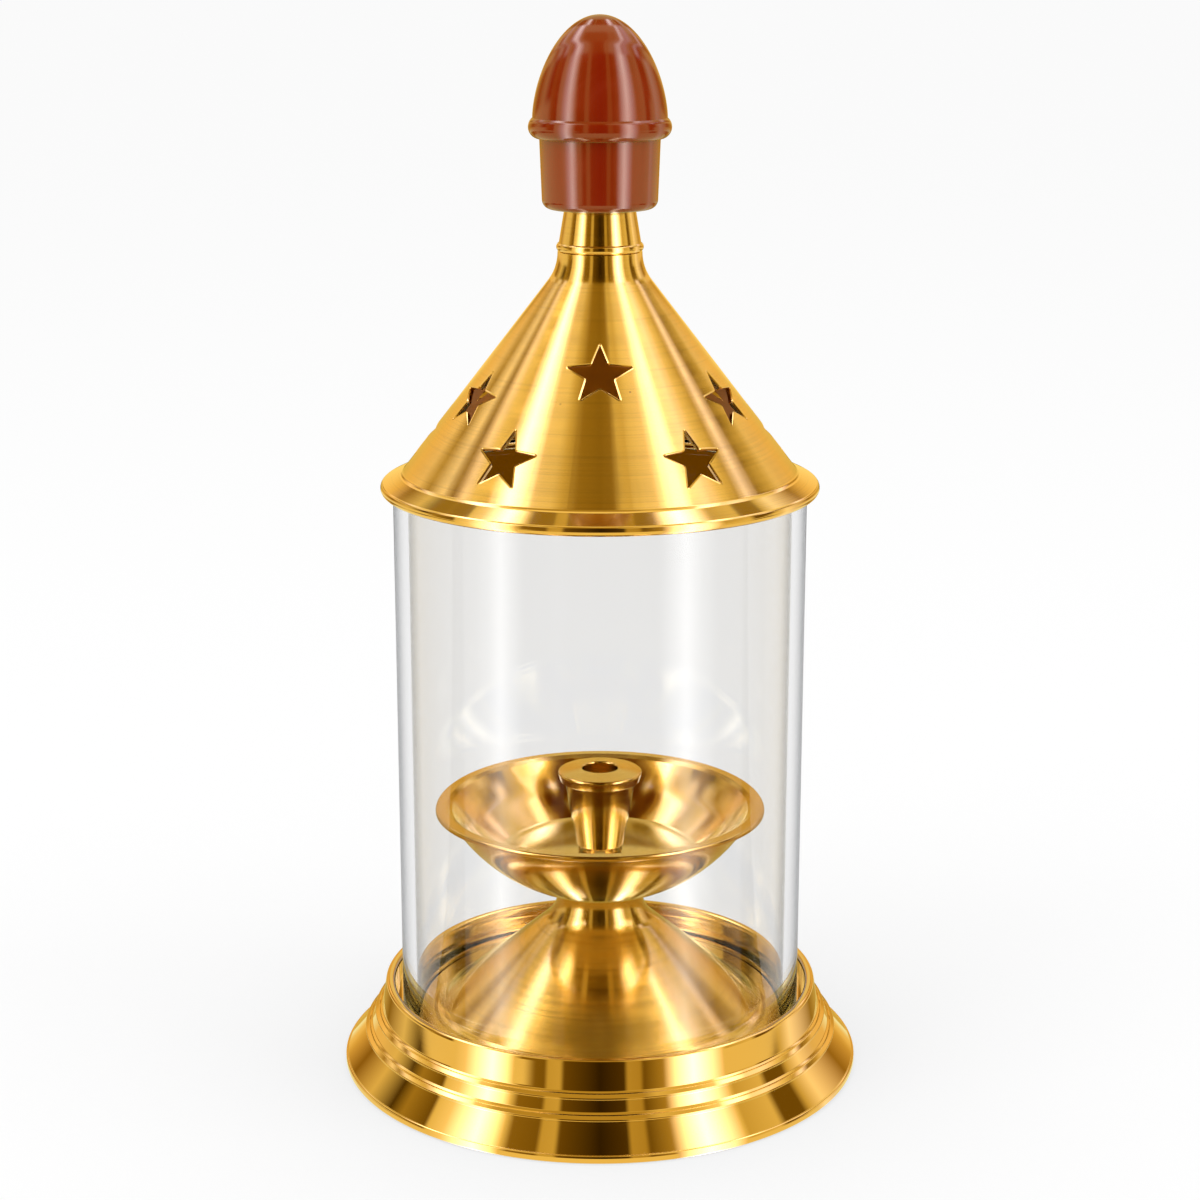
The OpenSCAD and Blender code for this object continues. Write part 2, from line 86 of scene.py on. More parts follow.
class Outline:
    """Outlines of turned pieces, as points of radius and height."""

    ARC_STEPS = 14

    @classmethod
    def arc(cls, centre: Point, radius: float, start: float, end: float) -> list[Point]:
        """Sample an arc.

        Args:
            centre: Middle of the arc.
            radius: Radius of the arc.
            start: First angle, in degrees.
            end: Last angle, in degrees.

        Returns:
            Points along the arc.
        """
        steps = [start + (end - start) * i / cls.ARC_STEPS for i in range(cls.ARC_STEPS + 1)]
        return [(centre[0] + radius * math.cos(turn), centre[1] + radius * math.sin(turn))
                for turn in map(math.radians, steps)]

    @classmethod
    def corner_arc(cls, before: Corner, corner: Corner, after: Corner) -> list[Point]:
        """Round one corner between two straight lines.

        Args:
            before: Corner ahead of it on the path.
            corner: The corner with its rounding.
            after: Corner behind it on the path.

        Returns:
            Points of the arc that replaces the corner.
        """
        b = Vector(corner[:2])
        u = (Vector(before[:2]) - b).normalized()
        v = (Vector(after[:2]) - b).normalized()
        half = math.acos(max(-1.0, min(1.0, u.dot(v)))) / 2
        middle = b + (u + v).normalized() * corner[2] / math.sin(half)
        s = b + u * corner[2] / math.tan(half) - middle
        e = b + v * corner[2] / math.tan(half) - middle
        start = math.degrees(math.atan2(s.y, s.x))
        turn = (math.degrees(math.atan2(e.y, e.x)) - start + 180) % 360 - 180
        return cls.arc((middle.x, middle.y), corner[2], start, start + turn)

    @classmethod
    def rounded(cls, path: list[Corner]) -> list[Point]:
        """Follow a path of corners and round those that have a rounding.

        Args:
            path: Corners of radius, height and rounding.

        Returns:
            Points of the outline.
        """
        points: list[Point] = []
        for i, corner in enumerate(path):
            if corner[2] > 0:
                points += cls.corner_arc(path[i - 1], corner, path[(i + 1) % len(path)])
            else:
                points.append(corner[:2])
        return points

    @staticmethod
    def right_of(path: list[Corner], thickness: float) -> list[Corner]:
        """Offset a path to its right by a sheet's thickness.

        Args:
            path: Corners of the outer face of the sheet.
            thickness: Thickness of the sheet.

        Returns:
            Corners of the inner face.
        """
        inner: list[Corner] = []
        for i, corner in enumerate(path):
            k, m = max(i, 1), min(i, len(path) - 2)
            back = (Vector(path[k][:2]) - Vector(path[k - 1][:2])).normalized()
            ahead = (Vector(path[m + 1][:2]) - Vector(path[m][:2])).normalized()
            side = Vector((back.y, -back.x))
            mitre = (side + Vector((ahead.y, -ahead.x))).normalized()
            p = Vector(corner[:2]) + mitre * thickness / mitre.dot(side)
            grow = thickness if back.x * ahead.y > back.y * ahead.x else -thickness
            inner.append((p.x, p.y, corner[2] + grow if corner[2] > 0 else 0.0))
        return inner

    @classmethod
    def axis_arc(cls, p: Point, q: Point) -> list[Point]:
        """Join two points by an arc whose centre lies on the lamp's axis.

        Args:
            p: First point.
            q: Last point.

        Returns:
            Points along the arc.
        """
        middle = (q[0] ** 2 + q[1] ** 2 - p[0] ** 2 - p[1] ** 2) / (2 * (q[1] - p[1]))
        start = math.degrees(math.atan2(p[1] - middle, p[0]))
        end = math.degrees(math.atan2(q[1] - middle, q[0]))
        return cls.arc((0.0, middle), math.hypot(p[0], p[1] - middle), start, end)


class Tree:
    """A node tree that is built by short calls."""

    def __init__(self, tree: bpy.types.NodeTree) -> None:
        """Keep the tree that is built."""
        self.tree = tree

    @classmethod
    def group(cls, name: str, kind: str, inputs: dict[str, str], outputs: dict[str, str]) -> "Tree":
        """Start a node group with named sockets.

        Args:
            name: Name of the group.
            kind: Type of the group's tree.
            inputs: Kind of each named input.
            outputs: Kind of each named output.

        Returns:
            The group's tree, ready for nodes.
        """
        t = cls(bpy.data.node_groups.new(name, kind))
        for way, sockets in (("INPUT", inputs), ("OUTPUT", outputs)):
            for label, sort in sockets.items():
                t.tree.interface.new_socket(label, in_out=way, socket_type=f"NodeSocket{sort}")
        return t

    def add(self, kind: str, inputs: dict[str | int, object] | None = None,
            **settings: object) -> bpy.types.Node:
        """Add a node.

        Args:
            kind: Type of the node.
            inputs: Value or socket for each input, by name or place.
            **settings: Properties of the node.

        Returns:
            The new node.
        """
        node = self.tree.nodes.new(kind)
        for name, value in settings.items():
            setattr(node, name, value)
        self.fill(node, inputs or {})
        return node

    def fill(self, node: bpy.types.Node, inputs: dict[str | int, object]) -> None:
        """Link a node's inputs to sockets, or set their values.

        Args:
            node: The node.
            inputs: Value or socket for each input, by name or place.
        """
        for name, value in inputs.items():
            if isinstance(value, Socket):
                self.tree.links.new(value, node.inputs[name])
            else:
                node.inputs[name].default_value = value

    def math(self, operation: str, a: object, b: object = 0.0) -> Socket:
        """Reckon with one or two numbers or sockets."""
        return self.add("ShaderNodeMath", {0: a, 1: b}, operation=operation).outputs[0]

    def product(self, first: object, *factors: object) -> Socket:
        """Multiply numbers or sockets, from the first to the last.

        Args:
            first: First number or socket.
            *factors: The others.

        Returns:
            Socket of the product.
        """
        for factor in factors:
            first = self.math("MULTIPLY", first, factor)
        return first

    def length(self, x: Socket, y: Socket) -> Socket:
        """Find the length of a flat vector."""
        return self.math("SQRT", self.math("ADD", self.product(x, x), self.product(y, y)))

    def split(self, vector: Socket) -> Outputs:
        """Take a vector apart into X, Y and Z."""
        return self.add("ShaderNodeSeparateXYZ", {0: vector}).outputs

    def scaled(self, vector: Socket, factor: object) -> Socket:
        """Scale a vector."""
        inputs = {0: vector, "Scale": factor}
        return self.add("ShaderNodeVectorMath", inputs, operation="SCALE").outputs[0]

    def moved(self, vector: Socket, step: Socket) -> Socket:
        """Add a step to a vector."""
        return self.add("ShaderNodeVectorMath", {0: vector, 1: step}, operation="ADD").outputs[0]

    def between(self, value: object, low: float, high: float) -> Socket:
        """Turn a value into a smooth step from 0 at low to 1 at high."""
        inputs = {"Value": value, "From Min": low, "From Max": high}
        return self.add("ShaderNodeMapRange", inputs, interpolation_type="SMOOTHSTEP").outputs[0]

    def spread(self, value: object, low: float, high: float) -> Socket:
        """Spread a value from 0 to 1 over the numbers from low to high."""
        inputs = {"Value": value, "To Min": low, "To Max": high}
        return self.add("ShaderNodeMapRange", inputs).outputs[0]

    def ramp(self, value: object, stops: list[tuple[float, Colour]]) -> Socket:
        """Read a curve of coloured stops.

        Args:
            value: Place on the curve, from 0 to 1.
            stops: Place and colour of each stop.

        Returns:
            Socket of the colour.
        """
        node = self.add("ShaderNodeValToRGB", {"Fac": value})
        elements = node.color_ramp.elements
        elements[0].position, elements[1].position = stops[0][0], stops[-1][0]
        for place, _ in stops[1:-1]:
            elements.new(place)
        for element, (_, colour) in zip(elements, stops):
            element.color = colour
        return node.outputs["Color"]

    def mix(self, factor: object, a: object, b: object, blend: str = "MIX") -> Socket:
        """Mix a share of a second colour into a first one."""
        inputs = {0: factor, 6: a, 7: b}
        return self.add("ShaderNodeMix", inputs, data_type="RGBA", blend_type=blend).outputs[2]

    def blend(self, factor: Socket, a: Socket, b: Socket) -> Socket:
        """Mix a share of a second shader into a first one."""
        return self.add("ShaderNodeMixShader", {0: factor, 1: a, 2: b}).outputs[0]

    def join(self, *parts: Socket) -> Socket:
        """Join geometries.

        Args:
            *parts: Sockets of the geometries.

        Returns:
            Socket of all of them together.
        """
        node = self.add("GeometryNodeJoinGeometry")
        for part in parts:
            self.fill(node, {0: part})
        return node.outputs[0]

    def welded(self, geometry: Socket) -> Socket:
        """Merge a geometry's points that lie in one place."""
        inputs = {"Geometry": geometry, "Distance": MERGE}
        return self.add("GeometryNodeMergeByDistance", inputs).outputs[0]

    def lifted(self, geometry: Socket, height: Socket) -> Socket:
        """Lift a geometry.

        Args:
            geometry: The geometry.
            height: How far it goes up.

        Returns:
            Socket of the lifted geometry.
        """
        way = self.add("ShaderNodeCombineXYZ", {"Z": height}).outputs[0]
        inputs = {"Geometry": geometry, "Translation": way}
        return self.add("GeometryNodeTransform", inputs).outputs[0]

    def position(self) -> Socket:
        """Read where a point is."""
        return self.add("GeometryNodeInputPosition").outputs[0]

    def realized(self, geometry: Socket) -> Socket:
        """Turn instances into plain geometry."""
        return self.add("GeometryNodeRealizeInstances", {"Geometry": geometry}).outputs[0]

    def dressed(self, geometry: Socket, finish: Socket, **chosen: Socket) -> Socket:
        """Set the material of a geometry, or of a Selection on it."""
        inputs = {"Geometry": geometry, "Material": finish, **chosen}
        return self.add("GeometryNodeSetMaterial", inputs).outputs[0]


def new_object(name: str, mesh: bpy.types.Mesh) -> Piece:
    """Put a mesh into the scene.

    Args:
        name: Name of the piece.
        mesh: Mesh of the piece, in place.

    Returns:
        The new object.
    """
    obj = bpy.data.objects.new(name, mesh)
    bpy.context.scene.collection.objects.link(obj)
    return obj


def settle(obj: Piece) -> None:
    """Turn an object's modifiers into its plain mesh.

    Args:
        obj: The object.
    """
    graph = bpy.context.evaluated_depsgraph_get()
    mesh = bpy.data.meshes.new_from_object(
        obj.evaluated_get(graph), preserve_all_data_layers=True, depsgraph=graph)
    obj.modifiers.clear()
    obj.data = mesh
    mesh.name = obj.name


def run_tree(obj: Piece, tree: bpy.types.NodeTree, values: dict[str, object]) -> None:
    """Run a geometry tree on an object and keep the result as its mesh.

    Args:
        obj: Object that the tree starts from.
        tree: The geometry tree.
        values: Values for the tree's named inputs.
    """
    modifier = obj.modifiers.new(tree.name, "NODES")
    modifier.node_group = tree
    for item in tree.interface.items_tree:
        if item.item_type == "SOCKET" and item.in_out == "INPUT" and item.name in values:
            modifier[item.identifier] = values[item.name]
    settle(obj)


def smooth_faces(obj: Piece, crease: float = 24.0) -> None:
    """Face a closed mesh outwards and smooth it, with crisp turned corners.

    Args:
        obj: The piece.
        crease: Angle in degrees from which a corner stays crisp.
    """
    bm = bmesh.new()
    bm.from_mesh(obj.data)
    bmesh.ops.recalc_face_normals(bm, faces=bm.faces)
    for face in bm.faces:
        face.smooth = True
    bm.to_mesh(obj.data)
    bm.free()
    obj.data.set_sharp_from_angle(angle=math.radians(crease))
    weighted = obj.modifiers.new("flat_faces_lead", "WEIGHTED_NORMAL")
    weighted.keep_sharp = True
    settle(obj)


class TurnedTree:
    """Geometry tree that turns an outline round the lamp's axis."""

    def __init__(self) -> None:
        """Build the tree with its named inputs."""
        t = Tree.group("turned_outline", "GeometryNodeTree",
                       {"Outline": "Geometry", "Segments": "Int", "Finish": "Material"},
                       {"Piece": "Geometry"})
        self.tree = t.tree
        given = t.add("NodeGroupInput").outputs
        size = t.add("GeometryNodeAttributeDomainSize", {0: given["Outline"]}).outputs
        count = size["Point Count"]
        columns = t.math("ADD", given["Segments"], 1)
        grid = t.add("GeometryNodeMeshGrid", {"Vertices X": columns, "Vertices Y": count}).outputs
        index = t.add("GeometryNodeInputIndex").outputs[0]
        step = t.math("FLOOR", t.math("DIVIDE", t.math("ADD", index, 0.5), count))
        row = t.math("ROUND", t.math("SUBTRACT", index, t.product(step, count)))
        inputs = {"Geometry": given["Outline"], "Value": t.position(), "Index": row}
        spot = t.add("GeometryNodeSampleIndex", inputs, data_type="FLOAT_VECTOR", domain="POINT")
        part = t.split(spot.outputs[0])
        turn = t.product(t.math("DIVIDE", step, given["Segments"]), math.tau)
        placed = t.add("ShaderNodeCombineXYZ", {
            "X": t.product(part["X"], t.math("SINE", turn)),
            "Y": t.product(part["X"], t.math("COSINE", turn)),
            "Z": part["Z"],
        }).outputs[0]
        inputs = {"Geometry": grid["Mesh"], "Position": placed}
        turned = t.welded(t.add("GeometryNodeSetPosition", inputs).outputs[0])
        t.add("NodeGroupOutput", {"Piece": t.dressed(t.realized(turned), given["Finish"])})

    def turn(self, name: str, outline: list[Point], finish: Material, segments: int) -> Piece:
        """Turn one piece.

        Args:
            name: Name of the piece.
            outline: Points of radius and height, open only at the axis.
            finish: Material of the piece.
            segments: Steps round the axis.

        Returns:
            The turned piece as a plain mesh.
        """
        path = list(outline)
        if path[0][0] > MERGE or path[-1][0] > MERGE:
            path.append(path[0])
        mesh = bpy.data.meshes.new(name)
        mesh.from_pydata([(r * MM, 0.0, z * MM) for r, z in path], [], [])
        obj = new_object(name, mesh)
        run_tree(obj, self.tree, {"Segments": segments, "Finish": finish})
        smooth_faces(obj)
        return obj


class StarTree:
    """Geometry tree that pierces stars through a turned sheet and rounds their edges."""

    CORNER_STEPS = 4
    EDGE_POINTS = 150
    EDGE_SIDES = 8
    FACING_DOWN = -0.3

    def __init__(self) -> None:
        """Build the tree with its named inputs."""
        lengths = ("Tip Radius", "Waist Radius", "Corner Radius", "Reach", "Edge Radius",
                   "Edge Depth", "Inside From")
        t = Tree.group("star_piercing", "GeometryNodeTree",
                       {"Sheet": "Geometry", "Places": "Object", "Points": "Int",
                        **dict.fromkeys(lengths, "Float"),
                        "Finish": "Material", "Inside Finish": "Material"},
                       {"Piece": "Geometry"})
        self.tree = t.tree
        given = t.add("NodeGroupInput").outputs
        star = self.star(t, given)
        cut = t.add("GeometryNodeMeshBoolean", {"Mesh 1": given["Sheet"]},
                    operation="DIFFERENCE", solver="EXACT")
        t.fill(cut, {"Mesh 2": self.tools(t, star, given)})
        both = t.join(cut.outputs["Mesh"], self.edges(t, star, given))
        piece = t.dressed(t.realized(both), given["Finish"])
        facing = t.split(t.add("GeometryNodeInputNormal").outputs[0])
        # The downward-facing inside takes the dull brass, an unpolished finish made darker with
        # painted shade.
        inside = t.product(t.math("GREATER_THAN", t.split(t.position())["Z"], given["Inside From"]),
                           t.math("LESS_THAN", facing["Z"], self.FACING_DOWN))
        lined = t.dressed(piece, given["Inside Finish"], Selection=inside)
        t.add("NodeGroupOutput", {"Piece": lined})

    @classmethod
    def star(cls, t: Tree, given: Outputs) -> Socket:
        """Draw a star with rounded corners.

        Args:
            t: The tree.
            given: The tree's inputs.

        Returns:
            Socket of the star's outline.
        """
        star = t.add("GeometryNodeCurveStar", {
            "Points": given["Points"],
            "Inner Radius": given["Waist Radius"],
            "Outer Radius": given["Tip Radius"],
        })
        return t.add("GeometryNodeFilletCurve", {
            "Curve": star.outputs["Curve"],
            "Radius": given["Corner Radius"],
            "Count": cls.CORNER_STEPS,
            "Limit Radius": True,
        }, mode="POLY").outputs[0]

    @staticmethod
    def named(t: Tree, name: str) -> Socket:
        """Read a vector that the stars' places carry."""
        kind = "GeometryNodeInputNamedAttribute"
        return t.add(kind, {"Name": name}, data_type="FLOAT_VECTOR").outputs[0]

    @classmethod
    def set_out(cls, t: Tree, shape: Socket, given: Outputs) -> Socket:
        """Set a copy of a shape at each star's place.

        Args:
            t: The tree.
            shape: The shape.
            given: The tree's inputs.

        Returns:
            Socket of the copies.
        """
        places = t.add("GeometryNodeObjectInfo", {"Object": given["Places"]}).outputs["Geometry"]
        turned = t.add("FunctionNodeEulerToRotation", {0: cls.named(t, "facing")}).outputs[0]
        inputs = {"Points": places, "Instance": shape, "Rotation": turned}
        return t.realized(t.add("GeometryNodeInstanceOnPoints", inputs).outputs[0])

    @classmethod
    def tools(cls, t: Tree, star: Socket, given: Outputs) -> Socket:
        """Make one closed star-shaped tool at each place.

        Args:
            t: The tree.
            star: Outline of a star.
            given: The tree's inputs.

        Returns:
            Socket of the tools.
        """
        face = t.add("GeometryNodeFillCurve", {"Curve": star}, mode="NGONS").outputs[0]
        height = t.product(given["Reach"], 2.0)
        inputs = {"Mesh": face, "Offset Scale": height, "Individual": False}
        tall = t.add("GeometryNodeExtrudeMesh", inputs).outputs["Mesh"]
        under = t.add("GeometryNodeFlipFaces", {"Mesh": face}).outputs[0]
        sunk = t.lifted(t.welded(t.join(tall, under)), t.product(given["Reach"], -1.0))
        return cls.set_out(t, sunk, given)

    @classmethod
    def edges(cls, t: Tree, star: Socket, given: Outputs) -> Socket:
        """Lay a fine rounded edge along each star, on the face of the sheet.

        Args:
            t: The tree.
            star: Outline of a star.
            given: The tree's inputs.

        Returns:
            Socket of the edges.
        """
        inputs = {"Curve": star, "Count": cls.EDGE_POINTS}
        fine = t.add("GeometryNodeResampleCurve", inputs, mode="COUNT").outputs[0]
        lines = cls.set_out(t, fine, given)
        outward = cls.named(t, "outward")
        hit = t.add("GeometryNodeRaycast", {
            "Target Geometry": given["Sheet"],
            "Source Position": t.moved(t.position(), t.scaled(outward, given["Reach"])),
            "Ray Direction": t.scaled(outward, -1.0),
            "Ray Length": t.product(given["Reach"], 2.0),
        }).outputs
        sink = t.scaled(hit["Hit Normal"], t.product(given["Edge Depth"], -1.0))
        inputs = {"Geometry": lines, "Position": t.moved(hit["Hit Position"], sink)}
        lying = t.add("GeometryNodeSetPosition", inputs).outputs[0]
        inputs = {"Radius": given["Edge Radius"], "Resolution": cls.EDGE_SIDES}
        ring = t.add("GeometryNodeCurvePrimitiveCircle", inputs).outputs[0]
        return t.add("GeometryNodeCurveToMesh", {"Curve": lying, "Profile Curve": ring}).outputs[0]


class ThreadTree:
    """Geometry tree that winds a thread round a plain shank."""

    TURN_STEPS = 40
    RIDGE_SIDES = 6

    def __init__(self) -> None:
        """Build the tree with its named inputs."""
        lengths = ("Radius", "Start", "Length", "Turns", "Ridge")
        t = Tree.group("wound_thread", "GeometryNodeTree",
                       {"Shank": "Geometry", **dict.fromkeys(lengths, "Float"),
                        "Finish": "Material"},
                       {"Piece": "Geometry"})
        self.tree = t.tree
        given = t.add("NodeGroupInput").outputs
        path = t.add("GeometryNodeCurveSpiral", {
            "Resolution": self.TURN_STEPS,
            "Rotations": given["Turns"],
            "Start Radius": given["Radius"],
            "End Radius": given["Radius"],
            "Height": given["Length"],
        }).outputs[0]
        inputs = {"Radius": given["Ridge"], "Resolution": self.RIDGE_SIDES}
        ridge = t.add("GeometryNodeCurvePrimitiveCircle", inputs).outputs[0]
        inputs = {"Curve": path, "Profile Curve": ridge, "Fill Caps": True}
        wound = t.add("GeometryNodeCurveToMesh", inputs).outputs[0]
        both = t.join(given["Shank"], t.lifted(wound, given["Start"]))
        t.add("NodeGroupOutput", {"Piece": t.dressed(t.realized(both), given["Finish"])})


class SurfaceEffects:
    """Shader groups that several finishes share."""

    SAFE_RADIUS = 0.0005
    STREAK_SHARE = 0.12
    STREAK_STEP: Step = (0.3, 0.7)
    DRIFT_STEP: Step = (0.38, 0.68)
    PIT_STEP: Step = (0.72, 0.8)

    def __init__(self) -> None:
        """Build each group once."""
        self.lathe_marks = self.build_lathe_marks()
        self.tone_drift = self.build_tone_drift()
        self.fine_pits = self.build_fine_pits()

    @classmethod
    def build_lathe_marks(cls) -> bpy.types.NodeTree:
        """Build fine lines round the lamp's axis.

        Returns:
            Group with the lines' height and a mask of broader streaks.
        """
        t = Tree.group("lathe_marks", "ShaderNodeTree",
                       {"Place": "Vector", "Lines per Metre": "Float", "Length": "Float"},
                       {"Height": "Float", "Streak": "Float"})
        given = t.add("NodeGroupInput").outputs
        part = t.split(given["Place"])
        radius = t.length(part["X"], part["Y"])
        short = t.math("DIVIDE", given["Length"], t.math("MAXIMUM", radius, cls.SAFE_RADIUS))
        round_x, round_y = t.product(part["X"], short), t.product(part["Y"], short)
        noises: list[Socket] = []
        for share in (1.0, cls.STREAK_SHARE):
            rate = t.product(given["Lines per Metre"], share)
            inputs = {"X": round_x, "Y": round_y, "Z": t.product(part["Z"], rate)}
            spot = t.add("ShaderNodeCombineXYZ", inputs).outputs[0]
            inputs = {"Vector": spot, "W": t.product(radius, rate), "Scale": 1.0, "Detail": 1.0,
                      "Roughness": 0.6}
            noises.append(t.add("ShaderNodeTexNoise", inputs, noise_dimensions="4D").outputs[0])
        streak = t.between(noises[1], *cls.STREAK_STEP)
        t.add("NodeGroupOutput", {"Height": noises[0], "Streak": streak})
        return t.tree

    @classmethod
    def build_tone_drift(cls) -> bpy.types.NodeTree:
        """Build a slow drift between two tones.

        Returns:
            Group with the drifting colour and its mask.
        """
        t = Tree.group("tone_drift", "ShaderNodeTree",
                       {"Place": "Vector", "Tone": "Color", "Other Tone": "Color",
                        "Patch per Metre": "Float"},
                       {"Colour": "Color", "Mask": "Float"})
        given = t.add("NodeGroupInput").outputs
        noise = t.add("ShaderNodeTexNoise", {
            "Vector": given["Place"], "Scale": given["Patch per Metre"],
            "Detail": 3.0, "Roughness": 0.55, "Distortion": 0.6,
        })
        mask = t.between(noise.outputs[0], *cls.DRIFT_STEP)
        colour = t.mix(mask, given["Tone"], given["Other Tone"])
        t.add("NodeGroupOutput", {"Colour": colour, "Mask": mask})
        return t.tree

    @classmethod
    def build_fine_pits(cls) -> bpy.types.NodeTree:
        """Build sparse small pits and specks.

        Returns:
            Group with a mask that is 1 in a pit.
        """
        t = Tree.group("fine_pits", "ShaderNodeTree",
                       {"Place": "Vector", "Cells per Metre": "Float", "Size": "Float"},
                       {"Pit": "Float"})
        given = t.add("NodeGroupInput").outputs
        inputs = {"Vector": given["Place"], "Scale": given["Cells per Metre"]}
        cells = t.add("ShaderNodeTexVoronoi", inputs, feature="F1").outputs
        draw = t.add("ShaderNodeSeparateColor", {0: cells["Color"]}).outputs[0]
        near = t.math("LESS_THAN", cells["Distance"], given["Size"])
        t.add("NodeGroupOutput", {"Pit": t.product(near, t.between(draw, *cls.PIT_STEP))})
        return t.tree


class FinishTree(Tree):
    """Tree of one material, with its shader and the shared effects at hand."""

    def __init__(self, name: str, effects: SurfaceEffects) -> None:
        """Start the material.

        Args:
            name: Name of the material.
            effects: Shared shader groups.
        """
        self.material = bpy.data.materials.new(name)
        self.material.use_nodes = True
        super().__init__(self.material.node_tree)
        self.effects = effects
        self.place = self.add("ShaderNodeTexCoord").outputs["Object"]

    def effect(self, group: bpy.types.NodeTree, inputs: dict[str, object]) -> Outputs:
        """Lay a shared effect over the piece."""
        return self.add("ShaderNodeGroup", {"Place": self.place, **inputs}, node_tree=group).outputs

    def drift(self, tone: Colour, other_tone: Colour, patches: float) -> Outputs:
        """Lay a drift between two tones over the piece, with so many patches in a metre."""
        inputs = {"Tone": tone, "Other Tone": other_tone, "Patch per Metre": patches}
        return self.effect(self.effects.tone_drift, inputs)

    def pits(self, cells: float, size: float) -> Socket:
        """Lay pits over the piece, in so many cells in a metre."""
        inputs = {"Cells per Metre": cells, "Size": size}
        return self.effect(self.effects.fine_pits, inputs)["Pit"]

    def marks(self, lines: float, length: float) -> Outputs:
        """Lay lathe marks over the piece, with so many lines in a metre."""
        inputs = {"Lines per Metre": lines, "Length": length}
        return self.effect(self.effects.lathe_marks, inputs)

    def bump(self, height: Socket, depth: float) -> Socket:
        """Make a relief of a depth in millimetres."""
        inputs = {"Height": height, "Strength": 1.0, "Distance": depth * MM}
        return self.add("ShaderNodeBump", inputs).outputs[0]

    def mirrored(self) -> Socket:
        """Find rays that come from something glossy, where a painted reflection tone stands in for
        the colour.
        """
        depth = self.add("ShaderNodeLightPath").outputs["Glossy Depth"]
        return self.math("GREATER_THAN", depth, 0.5)

    def finished(self, inputs: dict[str, object]) -> Material:
        """Give the shader its inputs and hand the material over."""
        self.fill(self.tree.nodes["Principled BSDF"], inputs)
        return self.material


@dataclass(frozen=True)
class BrassFinish:
    """Brass with lathe marks, drifting tone and a thin lacquer."""

    name: str
    tone: Colour
    other_tone: Colour
    roughness: float
    streak_roughness: float
    anisotropy: float
    lines_per_metre: float
    line_length: float
    line_depth: float
    line_shade: float = 0.0
    shade_step: Step = (0.5, 0.3)
    pit_tone: Colour = (0.5, 0.24, 0.03, 1.0)
    pit_size: float = 0.035
    pits_per_metre: float = 170.0
    patches_per_metre: float = 38.0
    lacquer_roughness: float = 0.05
    lacquer_index: float = 2.0
    painted_reflection_tone: Colour = (0.9, 0.76, 0.42, 1.0)
    buffed_below: float = 0.0
    buffed_blur: float = 0.2
    buffed_roughness: float = 0.06
    lathe_turn: float = 0.25

    def material(self, effects: SurfaceEffects) -> Material:
        """Make the material.

        Args:
            effects: Shared shader groups.

        Returns:
            The brass material.
        """
        t = FinishTree(self.name, effects)
        drift = t.drift(self.tone, self.other_tone, self.patches_per_metre)
        pits = t.pits(self.pits_per_metre, self.pit_size)
        colour = t.mix(pits, drift["Colour"], self.pit_tone)
        marks = t.marks(self.lines_per_metre, self.line_length)
        rough = t.spread(marks["Streak"], self.roughness, self.streak_roughness)
        if self.buffed_below > 0:
            start, end = self.buffed_below + self.buffed_blur, self.buffed_below - self.buffed_blur
            buffed = t.between(t.split(t.place)["Z"], start * MM, end * MM)
            inputs = {0: buffed, 2: rough, 3: self.buffed_roughness}
            rough = t.add("ShaderNodeMix", inputs).outputs[0]
        if self.line_shade > 0:
            lines = t.product(t.between(marks["Height"], *self.shade_step), self.line_shade)
            colour = t.mix(lines, colour, self.pit_tone)
        return t.finished({
            # Painted reflection: seen in other gloss, the brass takes a paler tone.
            "Base Color": t.mix(t.mirrored(), colour, self.painted_reflection_tone),
            "Roughness": rough,
            "Normal": t.bump(marks["Height"], self.line_depth),
            "Metallic": 1.0,
            "Coat Weight": 1.0,
            "Coat IOR": self.lacquer_index,
            "Coat Roughness": self.lacquer_roughness,
            "Anisotropic": self.anisotropy,
            "Anisotropic Rotation": self.lathe_turn,
        })


